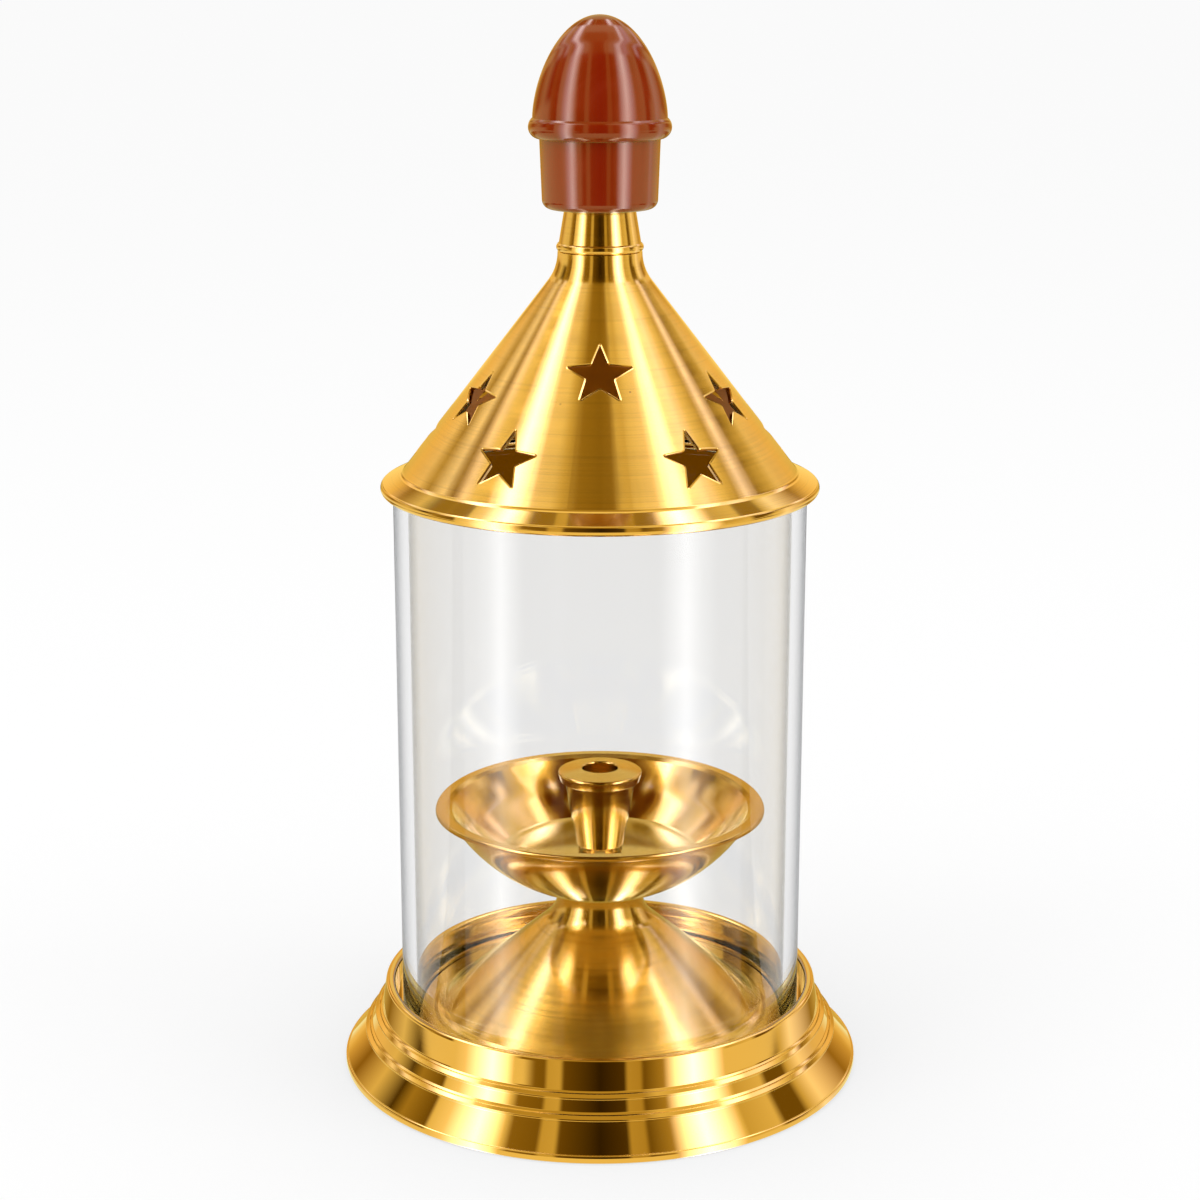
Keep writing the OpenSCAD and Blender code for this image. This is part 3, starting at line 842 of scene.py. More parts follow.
@dataclass(frozen=True)
class GlassFinish:
    """Clear drawn glass with faint draw lines along the tube, painted dark edges and painted shade
    on the bore's rim under the lid.
    """

    name: str = "clear_drawn_glass"
    tint: Colour = (0.93, 0.93, 0.93, 1.0)
    other_tint: Colour = (0.924, 0.924, 0.924, 1.0)
    painted_edge_shade: Colour = (0.2, 0.21, 0.22, 1.0)
    painted_edge_step: Step = (0.68, 0.88)
    mirror_tint: Colour = (0.65, 0.65, 0.65, 1.0)
    shade_tint: Colour = (0.016, 0.0016, 0.0, 1.0)
    shade_reach: float = 70.0
    shade_step: Step = (0.3, 0.1)
    bore_r: float = 39.5
    index: float = 1.47
    draw_scale: Corner = (160.0, 160.0, 1.5)
    draw_depth: float = 0.0015
    patches_per_metre: float = 20.0
    roughness: float = 0.003

    def material(self, effects: SurfaceEffects) -> Material:
        """Make the material.

        Args:
            effects: Shared shader groups.

        Returns:
            The glass material.
        """
        t = FinishTree(self.name, effects)
        along = t.add("ShaderNodeMapping", {"Vector": t.place, "Scale": self.draw_scale}).outputs[0]
        inputs = {"Vector": along, "Scale": 1.0, "Detail": 2.0}
        waves = t.add("ShaderNodeTexNoise", inputs).outputs[0]
        drift = t.drift(self.tint, self.other_tint, self.patches_per_metre)
        # Painted shade: the glass darkens towards its outline, drawing dark edge lines.
        facing = t.add("ShaderNodeLayerWeight", {"Blend": 0.5}).outputs["Facing"]
        clear = t.mix(t.between(facing, *self.painted_edge_step), drift["Colour"], self.painted_edge_shade)
        return t.finished({
            # Painted shade on the bore's rim under a closed lid.
            "Base Color": t.mix(self.shade(t), clear, self.shade_tint),
            "Roughness": t.spread(drift["Mask"], 0.0, self.roughness),
            "Normal": t.bump(waves, self.draw_depth),
            "Transmission Weight": 1.0,
            "IOR": self.index,
            "Specular Tint": self.mirror_tint,
        })

    def shade(self, t: FinishTree) -> Socket:
        """Find where painted shade darkens the bore's rim under a closed lid, where a star lets the
        eye fall on it.

        Args:
            t: Tree of the glass.

        Returns:
            Socket that is 1 where shade is painted.
        """
        part = t.split(t.place)
        up = t.add("ShaderNodeCombineXYZ", {"Z": 1.0}).outputs[0]
        inputs = {"Distance": self.shade_reach * MM, "Normal": up}
        open_sky = t.add("ShaderNodeAmbientOcclusion", inputs).outputs["AO"]
        bore = t.math("LESS_THAN", t.length(part["X"], part["Y"]), self.bore_r * MM)
        seen = t.add("ShaderNodeLightPath").outputs["Is Camera Ray"]
        return t.product(seen, bore, t.between(open_sky, *self.shade_step))


@dataclass(frozen=True)
class MouldedFinish:
    """Glossy moulded knob with faint marbling and a slightly uneven skin."""

    name: str = "glossy_knob"
    tone: Colour = (0.22, 0.0095, 0.0002, 1.0)
    other_tone: Colour = (0.245, 0.0125, 0.0004, 1.0)
    speck_tone: Colour = (0.2, 0.009, 0.0004, 1.0)
    painted_reflection_tone: Colour = (0.36, 0.17, 0.02, 1.0)
    shine_tone: Colour = (1.0, 0.85, 0.65, 1.0)
    patches_per_metre: float = 90.0
    specks_per_metre: float = 420.0
    speck_size: float = 0.05
    skin_per_metre: float = 260.0
    skin_depth: float = 0.012
    roughness: float = 0.09
    patch_roughness: float = 0.15
    shine: float = 1.0
    index: float = 1.5

    def material(self, effects: SurfaceEffects) -> Material:
        """Make the material.

        Args:
            effects: Shared shader groups.

        Returns:
            The knob's material.
        """
        t = FinishTree(self.name, effects)
        drift = t.drift(self.tone, self.other_tone, self.patches_per_metre)
        specks = t.pits(self.specks_per_metre, self.speck_size)
        colour = t.mix(specks, drift["Colour"], self.speck_tone)
        inputs = {"Vector": t.place, "Scale": self.skin_per_metre, "Detail": 2.0}
        skin = t.add("ShaderNodeTexNoise", inputs).outputs[0]
        return t.finished({
            # Painted reflection: seen in other gloss, the knob takes an orange tone.
            "Base Color": t.mix(t.mirrored(), colour, self.painted_reflection_tone),
            "Roughness": t.spread(drift["Mask"], self.roughness, self.patch_roughness),
            "Normal": t.bump(skin, self.skin_depth),
            "IOR": self.index,
            "Specular IOR Level": self.shine,
            "Specular Tint": self.shine_tone,
        })


@dataclass(frozen=True)
class SteelFinish:
    """Plated steel of the hidden fasteners."""

    name: str = "plated_steel"
    tone: Colour = (0.52, 0.52, 0.5, 1.0)
    other_tone: Colour = (0.44, 0.44, 0.41, 1.0)
    patches_per_metre: float = 220.0
    lines_per_metre: float = 3500.0
    line_length: float = 0.8
    line_depth: float = 0.01
    roughness: float = 0.28
    streak_roughness: float = 0.4

    def material(self, effects: SurfaceEffects) -> Material:
        """Make the material.

        Args:
            effects: Shared shader groups.

        Returns:
            The steel material.
        """
        t = FinishTree(self.name, effects)
        marks = t.marks(self.lines_per_metre, self.line_length)
        return t.finished({
            "Base Color": t.drift(self.tone, self.other_tone, self.patches_per_metre)["Colour"],
            "Roughness": t.spread(marks["Streak"], self.roughness, self.streak_roughness),
            "Normal": t.bump(marks["Height"], self.line_depth),
            "Metallic": 1.0,
        })


class Workshop:
    """Finishes and geometry trees that every sub-assembly takes from."""

    CREASE = 40.0
    FLAT = 0.5

    def __init__(self) -> None:
        """Build the finishes and trees."""
        effects = SurfaceEffects()
        polished = BrassFinish(
            name="polished_brass",
            tone=(0.85, 0.45, 0.055, 1.0), other_tone=(0.83, 0.43, 0.05, 1.0),
            roughness=0.025, streak_roughness=0.06, anisotropy=0.6,
            lines_per_metre=1500.0, line_length=0.4, line_depth=0.0006,
        )
        satin = BrassFinish(
            name="satin_brass",
            tone=(0.85, 0.45, 0.055, 1.0), other_tone=(0.82, 0.425, 0.05, 1.0),
            roughness=0.11, streak_roughness=0.17, anisotropy=0.9,
            lines_per_metre=3200.0, line_length=0.4, line_depth=0.0015, line_shade=0.15,
            lacquer_roughness=0.08, painted_reflection_tone=(1.0, 0.88, 0.52, 1.0),
        )
        brushed = BrassFinish(
            name="brushed_brass",
            tone=(0.85, 0.455, 0.06, 1.0), other_tone=(0.82, 0.43, 0.053, 1.0),
            roughness=0.1, streak_roughness=0.16, anisotropy=0.92,
            lines_per_metre=3600.0, line_length=0.5, line_depth=0.0025, line_shade=0.22,
            lacquer_roughness=0.1, buffed_below=121.2,
        )
        # Dull brass of the lid's inside: an unpolished finish, made darker with painted shade.
        dull_and_shaded = BrassFinish(
            name="dull_brass",
            tone=(0.55, 0.18, 0.002, 1.0), other_tone=(0.48, 0.155, 0.002, 1.0),
            pit_tone=(0.3, 0.1, 0.006, 1.0), roughness=0.5, streak_roughness=0.6, anisotropy=0.3,
            lines_per_metre=1500.0, line_length=0.35, line_depth=0.005,
            painted_reflection_tone=(0.42, 0.16, 0.008, 1.0), lacquer_index=1.01,
        )
        spun = replace(brushed, name="spun_brass", line_shade=0.3, buffed_below=0.0)
        self.polished = polished.material(effects)
        self.satin = satin.material(effects)
        self.brushed = brushed.material(effects)
        self.spun = spun.material(effects)
        self.dull_and_shaded = dull_and_shaded.material(effects)
        self.glass = GlassFinish().material(effects)
        self.moulded = MouldedFinish().material(effects)
        self.steel = SteelFinish().material(effects)
        self.turning = TurnedTree()
        self.stars = StarTree()
        self.threads = ThreadTree()

    @staticmethod
    def hand_over(piece: Piece, body: Body, slot: Slot, node: str) -> None:
        """Set a finished piece on its body in place of its solid.

        Args:
            piece: The finished piece.
            body: Body that it rides on.
            slot: Material slot that it stands for; not used.
            node: Solid that it replaces.
        """
        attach(piece, body.value)
        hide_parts(node)
        faces = len(piece.data.polygons)
        LOG.info("%s: %d faces on body %s", piece.name, faces, body.value)

    def fastener(self, node: str, body: Body, edge: float = 0.18) -> None:
        """Dress a hidden fastener as a copy of its solid with broken edges.

        Args:
            node: Solid that is copied.
            body: Body that it rides on.
            edge: Width of the broken edges.
        """
        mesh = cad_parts[node].data.copy()
        bm = bmesh.new()
        bm.from_mesh(mesh)
        bmesh.ops.remove_doubles(bm, verts=bm.verts, dist=MERGE)
        flat = math.radians(self.FLAT)
        bmesh.ops.dissolve_limit(bm, angle_limit=flat, verts=bm.verts, edges=bm.edges)
        bm.to_mesh(mesh)
        bm.free()
        piece = new_object(f"{node}_dressed", mesh)
        bevel = piece.modifiers.new("broken_edge", "BEVEL")
        bevel.width, bevel.segments = edge * MM, 2
        bevel.limit_method, bevel.angle_limit = "ANGLE", math.radians(self.CREASE)
        settle(piece)
        piece.data.materials.clear()
        piece.data.materials.append(self.steel)
        smooth_faces(piece)
        self.hand_over(piece, body, Slot.STEEL, node)


@dataclass
class LampBase:
    """Stepped base, pedestal, oil bowl and the stud that joins them."""

    workshop: Workshop
    segments: int = 320
    collar_in_r: float = 41.5
    collar_top_r: float = 43.3
    collar_foot_r: float = 44.35
    collar_edge_r: float = 0.81
    band_top_r: float = 45.85
    band_foot_r: float = 46.4
    flare_top_r: float = 47.9
    flare_foot_r: float = 51.3
    base_foot_r: float = 51.8
    base_bead_r: float = 0.6
    bead_nose_h: float = 0.55
    bead_nose_r: float = 0.3
    bead_edge_r: float = 0.12
    bead_groove: float = 0.28
    bead_cove_rise: float = 1.6
    bead_cove_r: float = 0.4
    lip_h: float = 1.6
    lip_edge_r: float = 0.48
    flare_top_z: float = 6.2
    band_top_z: float = 9.6
    base_h: float = 16.9
    seat_z: float = 10.4
    ledge_t: float = 1.2
    ledge_in_r: float = 34.1
    skirt_wall: float = 1.8
    pedestal_sheet: float = 1.0
    pedestal_rim_r: float = 36.6
    cone_foot_r: float = 32.4
    pedestal_neck_r: float = 8.4
    pedestal_rise: float = 20.2
    pedestal_sweep_r: float = 8.0
    pedestal_sweep_play: float = 0.01
    pedestal_foot_r: float = 4.0
    pedestal_top_t: float = 1.6
    bowl_foot_r: float = 7.6
    bowl_wall_r: float = 30.6
    bowl_wall_h: float = 17.3
    bowl_lip_reach: float = 2.24
    bowl_lip_t: float = 1.1
    bowl_lip_edge_r: float = 0.495
    bowl_rim_wall: float = 1.0
    bowl_floor_h: float = 8.2
    bowl_floor_r: float = 20.0
    recess_r: float = 4.5
    recess_depth: float = 1.0
    stud_r: float = 3.0
    stud_root_r: float = 2.6
    stud_grip: float = 5.4
    stud_tail: float = 2.0
    stud_pitch: float = 1.0
    stud_hole_r: float = 3.25
    stud_segments: int = 64
    thread_relief: float = 1.2
    thread_seat: float = 0.3
    thread_ridge: float = 0.7
    bowl_hole_r: float = 3.05
    stud_tip_gap: float = 0.4
    stud_washer_t: float = 1.2
    nut_h: float = 5.0

    @property
    def cone_foot_z(self) -> float:
        """Height of the pedestal's rim."""
        return self.seat_z + self.pedestal_sheet

    @property
    def cone_top_z(self) -> float:
        """Height of the corner below the pedestal's neck."""
        return self.cone_foot_z + self.pedestal_rise

    @property
    def pedestal_top_z(self) -> float:
        """Find the flat top that carries the bowl.

        Returns:
            Height above the floor.
        """
        reach = self.cone_foot_r - self.pedestal_neck_r
        slope = math.degrees(math.atan2(self.pedestal_rise, reach))
        return self.cone_top_z + self.pedestal_sweep_r * math.tan(math.radians((90 - slope) / 2))

    def skirt_outline(self) -> list[Point]:
        """Draw the stepped skirt with its beads, collar and ledge.

        Returns:
            Points of the outline.
        """
        under_z = self.seat_z - self.ledge_t
        return Outline.rounded([
            (self.flare_foot_r - self.skirt_wall, 0.0, 0.0),
            (self.base_foot_r, 0.0, self.lip_edge_r),
            (self.base_foot_r, self.lip_h, self.lip_edge_r),
            (self.flare_foot_r, self.lip_h, 0.0),
            *self.bead(self.flare_top_r, self.flare_top_z, self.band_foot_r),
            *self.bead(self.band_top_r, self.band_top_z, self.collar_foot_r),
            (self.collar_top_r, self.base_h, self.collar_edge_r),
            (self.collar_in_r, self.base_h, self.collar_edge_r),
            (self.collar_in_r, self.seat_z, 0.0),
            (self.ledge_in_r, self.seat_z, 0.0),
            (self.ledge_in_r, under_z, 0.0),
            (self.band_top_r - self.skirt_wall, under_z, 0.0),
            (self.flare_top_r - self.skirt_wall, self.flare_top_z, 0.0),
            (self.flare_foot_r - self.skirt_wall, self.lip_h, 0.0),
        ])

    def bead(self, reach: float, low_z: float, face_r: float) -> list[Corner]:
        """Follow a bead from the groove below it to the cove of the face above it.

        Args:
            reach: Radius of the bead's nose.
            low_z: Height of the groove below it.
            face_r: Radius of the foot of the face above it.

        Returns:
            Corners of the bead, upwards.
        """
        groove = self.bead_groove
        high_z = low_z + 2 * self.base_bead_r
        return [
            (reach - self.base_bead_r, low_z, 0.0),
            (reach, low_z + self.bead_nose_h, self.bead_nose_r),
            (face_r + 2 * groove, high_z + groove / 4, self.bead_edge_r),
            (face_r + groove, high_z - groove / 2, 0.0),
            (face_r + groove, high_z + groove / 2, 0.0),
            (face_r - groove / 2, high_z + self.bead_cove_rise * groove, self.bead_cove_r),
        ]

    def pedestal_outline(self) -> list[Point]:
        """Draw the spun pedestal sheet.

        Returns:
            Points of the outline.
        """
        sweep_r = self.pedestal_sweep_r - self.pedestal_sweep_play
        spun = [
            (self.pedestal_neck_r, self.pedestal_top_z, 0.0),
            (self.pedestal_neck_r, self.cone_top_z, sweep_r),
            (self.cone_foot_r, self.cone_foot_z, self.pedestal_foot_r),
            (self.pedestal_rim_r, self.cone_foot_z, 0.0),
        ]
        under_z = self.pedestal_top_z - self.pedestal_top_t
        inside = reversed(Outline.rounded(Outline.right_of(spun, self.pedestal_sheet)))
        return [
            *Outline.rounded(spun),
            *(p for p in inside if p[1] < under_z),
            (self.pedestal_neck_r - self.pedestal_sheet, under_z),
            (self.stud_hole_r, under_z),
            (self.stud_hole_r, self.pedestal_top_z),
        ]

    def bowl_outline(self) -> list[Point]:
        """Draw the turned bowl.

        Returns:
            Points of the outline.
        """
        foot_z = self.pedestal_top_z
        lip_z = foot_z + self.bowl_wall_h
        top_z = lip_z + self.bowl_lip_t
        floor_z = foot_z + self.bowl_floor_h
        tip_z = foot_z + self.stud_grip + self.stud_tip_gap
        lip_r = self.bowl_wall_r + self.bowl_lip_reach
        lip = [
            (self.bowl_wall_r, lip_z, 0.0),
            (lip_r, lip_z, self.bowl_lip_edge_r),
            (lip_r, top_z, self.bowl_lip_edge_r),
            (self.bowl_wall_r, top_z, 0.0),
        ]
        rim = (self.bowl_wall_r - self.bowl_rim_wall, lip_z + self.bowl_lip_t / 2)
        return [
            (0.0, tip_z),
            (self.bowl_hole_r, tip_z),
            (self.bowl_hole_r, foot_z),
            *Outline.axis_arc((self.bowl_foot_r, foot_z), (self.bowl_wall_r, lip_z)),
            *Outline.rounded(lip),
            *Outline.axis_arc(rim, (self.bowl_floor_r, floor_z)),
            (self.recess_r, floor_z),
            (self.recess_r, floor_z - self.recess_depth),
            (0.0, floor_z - self.recess_depth),
        ]

    def dress_stud(self) -> None:
        """Turn the stud that holds the bowl and wind its thread."""
        shop = self.workshop
        nut_z = self.pedestal_top_z - self.pedestal_top_t - self.stud_washer_t - self.nut_h
        low, high = nut_z - self.stud_tail, self.pedestal_top_z + self.stud_grip
        chamfer = self.stud_r - self.stud_root_r
        tip_r = self.stud_root_r - chamfer
        outline = [
            (0.0, low), (tip_r, low), (self.stud_root_r, low + chamfer),
            (self.stud_root_r, high - chamfer), (tip_r, high), (0.0, high),
        ]
        stud = shop.turning.turn("stud_threaded", outline, shop.steel, self.stud_segments)
        length = high - low - 2 * self.thread_relief * chamfer
        run_tree(stud, shop.threads.tree, {
            "Radius": (self.stud_root_r + chamfer * self.thread_seat) * MM,
            "Start": (low + self.thread_relief * chamfer) * MM,
            "Length": length * MM,
            "Turns": length / self.stud_pitch,
            "Ridge": chamfer * self.thread_ridge * MM,
            "Finish": shop.steel,
        })
        shop.hand_over(stud, Body.BASE, Slot.STEEL, "bowl_stud")

    def build(self) -> None:
        """Build and dress the base's pieces."""
        shop = self.workshop
        for name, outline, finish, slot, node in (
            ("base_skirt_turned", self.skirt_outline(), shop.polished, Slot.POLISHED, "base_skirt"),
            ("pedestal_spun", self.pedestal_outline(), shop.spun, Slot.BRUSHED, "pedestal_cone"),
            ("oil_bowl_turned", self.bowl_outline(), shop.satin, Slot.POLISHED, "oil_bowl"),
        ):
            piece = shop.turning.turn(name, outline, finish, self.segments)
            shop.hand_over(piece, Body.BASE, slot, node)
        self.dress_stud()
        for node in ("pedestal_washer", "pedestal_nut"):
            shop.fastener(node, Body.BASE)


@dataclass
class WickHolder:
    """Bored and tapered holder whose slotted foot stands in the bowl's recess."""

    workshop: Workshop
    floor_z: float
    segments: int = 192
    wick_r: float = 3.5
    wick_foot_r: float = 4.2
    wick_foot_drop: float = 0.7
    wick_lift: float = 1.4
    wick_body_r: float = 4.75
    wick_neck_r: float = 7.1
    wick_body_h: float = 13.2
    wick_head_r: float = 7.9
    wick_brim_r: float = 8.5
    wick_head_h: float = 2.0
    wick_crown: float = 0.7
    wick_edge_r: float = 0.2
    wick_brim_edge_r: float = 0.5
    wick_bore_edge_r: float = 0.35
    oil_slot_w: float = 2.0
    oil_slot_past: float = 1.0

    @property
    def foot_z(self) -> float:
        """Height of the holder's foot in the recess."""
        return self.floor_z - self.wick_foot_drop

    def outline(self) -> list[Point]:
        """Draw the holder with its bore.

        Returns:
            Points of the outline.
        """
        body_z = self.floor_z + self.wick_lift
        head_z = body_z + self.wick_body_h
        brim_z = head_z + self.wick_head_h
        return Outline.rounded([
            (self.wick_r, self.foot_z, 0.0),
            (self.wick_foot_r, self.foot_z, 0.0),
            (self.wick_foot_r, body_z, 0.0),
            (self.wick_body_r, body_z, self.wick_edge_r),
            (self.wick_neck_r, head_z, 0.0),
            (self.wick_head_r, head_z, self.wick_edge_r),
            (self.wick_brim_r, brim_z, self.wick_brim_edge_r),
            (self.wick_r, brim_z + self.wick_crown, self.wick_bore_edge_r),
        ])

    def slot_tool(self) -> Piece:
        """Make two crossed bars, as tall as the slots and reaching past the foot below and aside.

        Returns:
            The tool that cuts the oil slots.
        """
        height = self.wick_foot_drop + self.wick_lift
        middle_z = self.foot_z + height / 2 - self.oil_slot_past / 2
        reach = 2 * (self.wick_foot_r + self.oil_slot_past)
        size = Matrix.Diagonal((
            reach * MM, self.oil_slot_w * MM, (height + self.oil_slot_past) * MM, 1.0))
        bm = bmesh.new()
        for turn in (0.0, 90.0):
            turned = Matrix.Rotation(math.radians(turn), 4, "Z")
            place = turned @ Matrix.Translation((0, 0, middle_z * MM))
            bmesh.ops.create_cube(bm, size=1.0, matrix=place @ size)
        mesh = bpy.data.meshes.new("oil_slots")
        bm.to_mesh(mesh)
        bm.free()
        return new_object("oil_slots", mesh)

    def build(self) -> None:
        """Turn the holder and cut its oil slots."""
        shop = self.workshop
        outline = self.outline()
        holder = shop.turning.turn("wick_holder_turned", outline, shop.satin, self.segments)
        tool = self.slot_tool()
        cut = holder.modifiers.new("oil_slots", "BOOLEAN")
        cut.operation, cut.solver, cut.object, cut.use_self = "DIFFERENCE", "EXACT", tool, True
        settle(holder)
        bpy.data.objects.remove(tool)
        smooth_faces(holder)
        shop.hand_over(holder, Body.WICK, Slot.POLISHED, "wick_holder")


@dataclass
class Chimney:
    """Plain glass tube with fire-polished ends."""

    workshop: Workshop
    segments: int = 320
    glass_r: float = 40.0
    glass_wall: float = 2.8
    glass_h: float = 107.8
    glass_edge_r: float = 1.1
    glass_z: float = 10.7

    def build(self) -> None:
        """Turn and dress the tube."""
        shop = self.workshop
        inner, top = self.glass_r - self.glass_wall, self.glass_z + self.glass_h
        outline = Outline.rounded([
            (inner, self.glass_z, self.glass_edge_r),
            (self.glass_r, self.glass_z, self.glass_edge_r),
            (self.glass_r, top, self.glass_edge_r),
            (inner, top, self.glass_edge_r),
        ])
        tube = shop.turning.turn("glass_tube", outline, shop.glass, self.segments)
        shop.hand_over(tube, Body.CHIMNEY, Slot.GLASS, "glass_chimney")


@dataclass
class Lid:
    """Star-pierced lid with its ferrule, knob and the screw that holds them."""

    workshop: Workshop
    cone_segments: int = 320
    segments: int = 192
    glass_top_z: float = 118.5
    glass_r: float = 40.0
    lift_gap: float = 0.3
    lid_sheet: float = 1.0
    lid_slope: float = 52.4
    brim_fall: float = 26.0
    brim_in: float = 1.8
    brim_sweep_r: float = 2.5
    rim_bead_r: float = 1.05
    lid_neck_r: float = 8.05
    lid_sweep_r: float = 9.0
    lid_sweep_play: float = 0.01
    lid_crease: float = 30.0
    cone_low: float = 1.2
    cone_high: float = 3.4
    cone_likeness: float = 0.998
    crown_t: float = 1.5
    screw_hole_r: float = 2.75
    star_r: float = 6.9
    star_waist_r: float = 2.85
    star_points: int = 5
    star_corner_r: float = 0.25
    star_edge_r: float = 0.22
    star_edge_sunk: float = 0.8
    star_low: float = 9.2
    star_side: float = 20.0
    star_mid: float = 27.8
    star_low_turn: float = 32.5
    star_side_turn: float = 64.5
    star_pairs: int = 2
    ferrule_bead_r: float = 8.3
    ferrule_bead_h: float = 1.8
    ferrule_r: float = 7.8
    ferrule_top_r: float = 6.75
    ferrule_h: float = 8.0
    ferrule_edge_r: float = 0.3
    cup_foot_r: float = 10.9
    cup_top_r: float = 11.4
    cup_corner_r: float = 1.8
    knob_bead_z: float = 15.2
    knob_bead_reach: float = 13.5
    knob_bead_r: float = 2.2
    dome_r: float = 12.7
    dome_h: float = 18.8
    dome_power: float = 1.65
    dome_steps: int = 40
    insert_hole_r: float = 4.25
    insert_hole_h: float = 12.05

    @property
    def cone_brim(self) -> Point:
        """Find the corner where the cone meets the brim.

        Returns:
            Radius and height of the corner.
        """
        fall = math.radians(self.brim_fall)
        seat_z = self.glass_top_z + self.lift_gap
        z = seat_z + self.lid_sheet / math.cos(fall) + self.brim_in * math.tan(fall)
        return self.glass_r - self.brim_in, z

    @property
    def neck_corner_z(self) -> float:
        """Height of the corner below the lid's neck."""
        r, z = self.cone_brim
        return z + (r - self.lid_neck_r) * math.tan(math.radians(self.lid_slope))

    @property
    def lid_top_z(self) -> float:
        """Height of the lid's flat crown."""
        turn = math.radians((90 - self.lid_slope) / 2)
        return self.neck_corner_z + self.lid_sweep_r * math.tan(turn)

    def cone_outline(self) -> list[Point]:
        """Draw the spun lid with its brim and rolled bead.

        Returns:
            Points of the outline.
        """
        fall = math.radians(self.brim_fall)
        brim_r, brim_z = self.cone_brim
        bead_r = self.glass_r + self.lift_gap + self.rim_bead_r
        end_r = bead_r + self.rim_bead_r * math.sin(fall)
        end_z = brim_z - (end_r - brim_r) * math.tan(fall)
        bead_z = end_z - self.rim_bead_r * math.cos(fall)
        spun = [
            (self.lid_neck_r, self.lid_top_z, 0.0),
            (self.lid_neck_r, self.neck_corner_z, self.lid_sweep_r - self.lid_sweep_play),
            (brim_r, brim_z, self.brim_sweep_r),
            (end_r, end_z, 0.0),
        ]
        crown_z = self.lid_top_z - self.crown_t
        inside = reversed(Outline.rounded(Outline.right_of(spun, self.lid_sheet)))
        return [
            *Outline.rounded(spun)[:-1],
            *self.rolled_bead((bead_r, bead_z)),
            *(p for p in inside if p[1] < crown_z and p[0] < bead_r - self.rim_bead_r),
            (self.lid_neck_r - self.lid_sheet, crown_z),
            (self.screw_hole_r, crown_z),
            (self.screw_hole_r, self.lid_top_z),
        ]

    def rolled_bead(self, middle: Point) -> list[Point]:
        """Roll the brim's bead from the outer face round to the inner one.

        Args:
            middle: Middle of the bead.

        Returns:
            Points of the bead, in two arcs.
        """
        rise = math.asin((self.rim_bead_r - self.lid_sheet) / self.rim_bead_r)
        start = 90 - self.brim_fall
        end = 180 - self.brim_fall - math.degrees(rise) - 360
        half = (start + end) / 2
        first = Outline.arc(middle, self.rim_bead_r, start, half)
        return first + Outline.arc(middle, self.rim_bead_r, half, end)[1:]

    def star_pattern(self) -> list[Point]:
        """Set out the stars.

        Returns:
            Way up the cone and degrees from the front, for each star.
        """
        pattern = [(self.star_mid, 0.0)]
        for pair in range(self.star_pairs):
            for side in (-1, 1):
                low_turn = self.star_low_turn + pair * self.star_side_turn
                pattern.append((self.star_low, side * low_turn))
                pattern.append((self.star_side, side * (pair + 1) * self.star_side_turn))
        return pattern

    def cone_facing(self, away: Vector) -> Vector:
        """Find which way the cone faces on a side of the lamp."""
        slope = math.radians(self.lid_slope)
        return away * math.sin(slope) + Vector((0, 0, math.cos(slope)))

    def star_places(self) -> Piece:
        """Put a point on the cone for each star.

        Returns:
            Points with the way each star faces and its turn.
        """
        slope = math.radians(self.lid_slope)
        brim_r, brim_z = self.cone_brim
        spots, turns, ways = [], [], []
        for up, degrees in self.star_pattern():
            turn = math.radians(degrees)
            away = Vector((math.sin(turn), -math.cos(turn), 0.0))
            rise = Vector((0, 0, math.sin(slope))) - away * math.cos(slope)
            out = self.cone_facing(away)
            height = Vector((0, 0, brim_z + up * math.sin(slope)))
            spots.append((away * (brim_r - up * math.cos(slope)) + height) * MM)
            turns.append(Matrix((rise, out.cross(rise), out)).transposed().to_euler())
            ways.append(out)
        mesh = bpy.data.meshes.new("star_places")
        mesh.from_pydata(spots, [], [])
        for name, values in (("facing", turns), ("outward", ways)):
            attribute = mesh.attributes.new(name, "FLOAT_VECTOR", "POINT")
            for item, value in zip(attribute.data, values):
                item.vector = tuple(value)
        return new_object("star_places", mesh)

    def true_cone_normals(self, lid: Piece) -> None:
        """Give the pierced cone the smooth facing of a true cone.

        Args:
            lid: The pierced lid.
        """
        mesh = lid.data
        facing = [Vector(n.vector) for n in mesh.corner_normals]
        low_z = (self.cone_brim[1] + self.cone_low) * MM
        high_z = (self.neck_corner_z - self.cone_high) * MM
        for face in mesh.polygons:
            for corner in face.loop_indices:
                spot = mesh.vertices[mesh.loops[corner].vertex_index].co
                true = self.cone_facing(Vector((spot.x, spot.y, 0.0)).normalized())
                side = face.normal.dot(true)
                if low_z < spot.z < high_z and abs(side) > self.cone_likeness:
                    facing[corner] = true if side > 0 else -true
        mesh.normals_split_custom_set(facing)

    def build_cone(self) -> None:
        """Turn the lid, pierce it and dress it."""
        shop = self.workshop
        lid = shop.turning.turn("lid_spun", self.cone_outline(), shop.brushed, self.cone_segments)
        places = self.star_places()
        run_tree(lid, shop.stars.tree, {
            "Places": places,
            "Points": self.star_points,
            "Tip Radius": self.star_r * MM,
            "Waist Radius": self.star_waist_r * MM,
            "Corner Radius": self.star_corner_r * MM,
            "Reach": (self.lid_sheet + self.star_r / 2) * MM,
            "Edge Radius": self.star_edge_r * MM,
            "Edge Depth": self.star_edge_r * self.star_edge_sunk * MM,
            "Inside From": self.cone_brim[1] * MM,
            "Finish": shop.brushed,
            "Inside Finish": shop.dull_and_shaded,
        })
        bpy.data.objects.remove(places)
        for face in lid.data.polygons:
            face.use_smooth = True
        lid.data.set_sharp_from_angle(angle=math.radians(self.lid_crease))
        self.true_cone_normals(lid)
        shop.hand_over(lid, Body.LID, Slot.BRUSHED, "lid_cone")

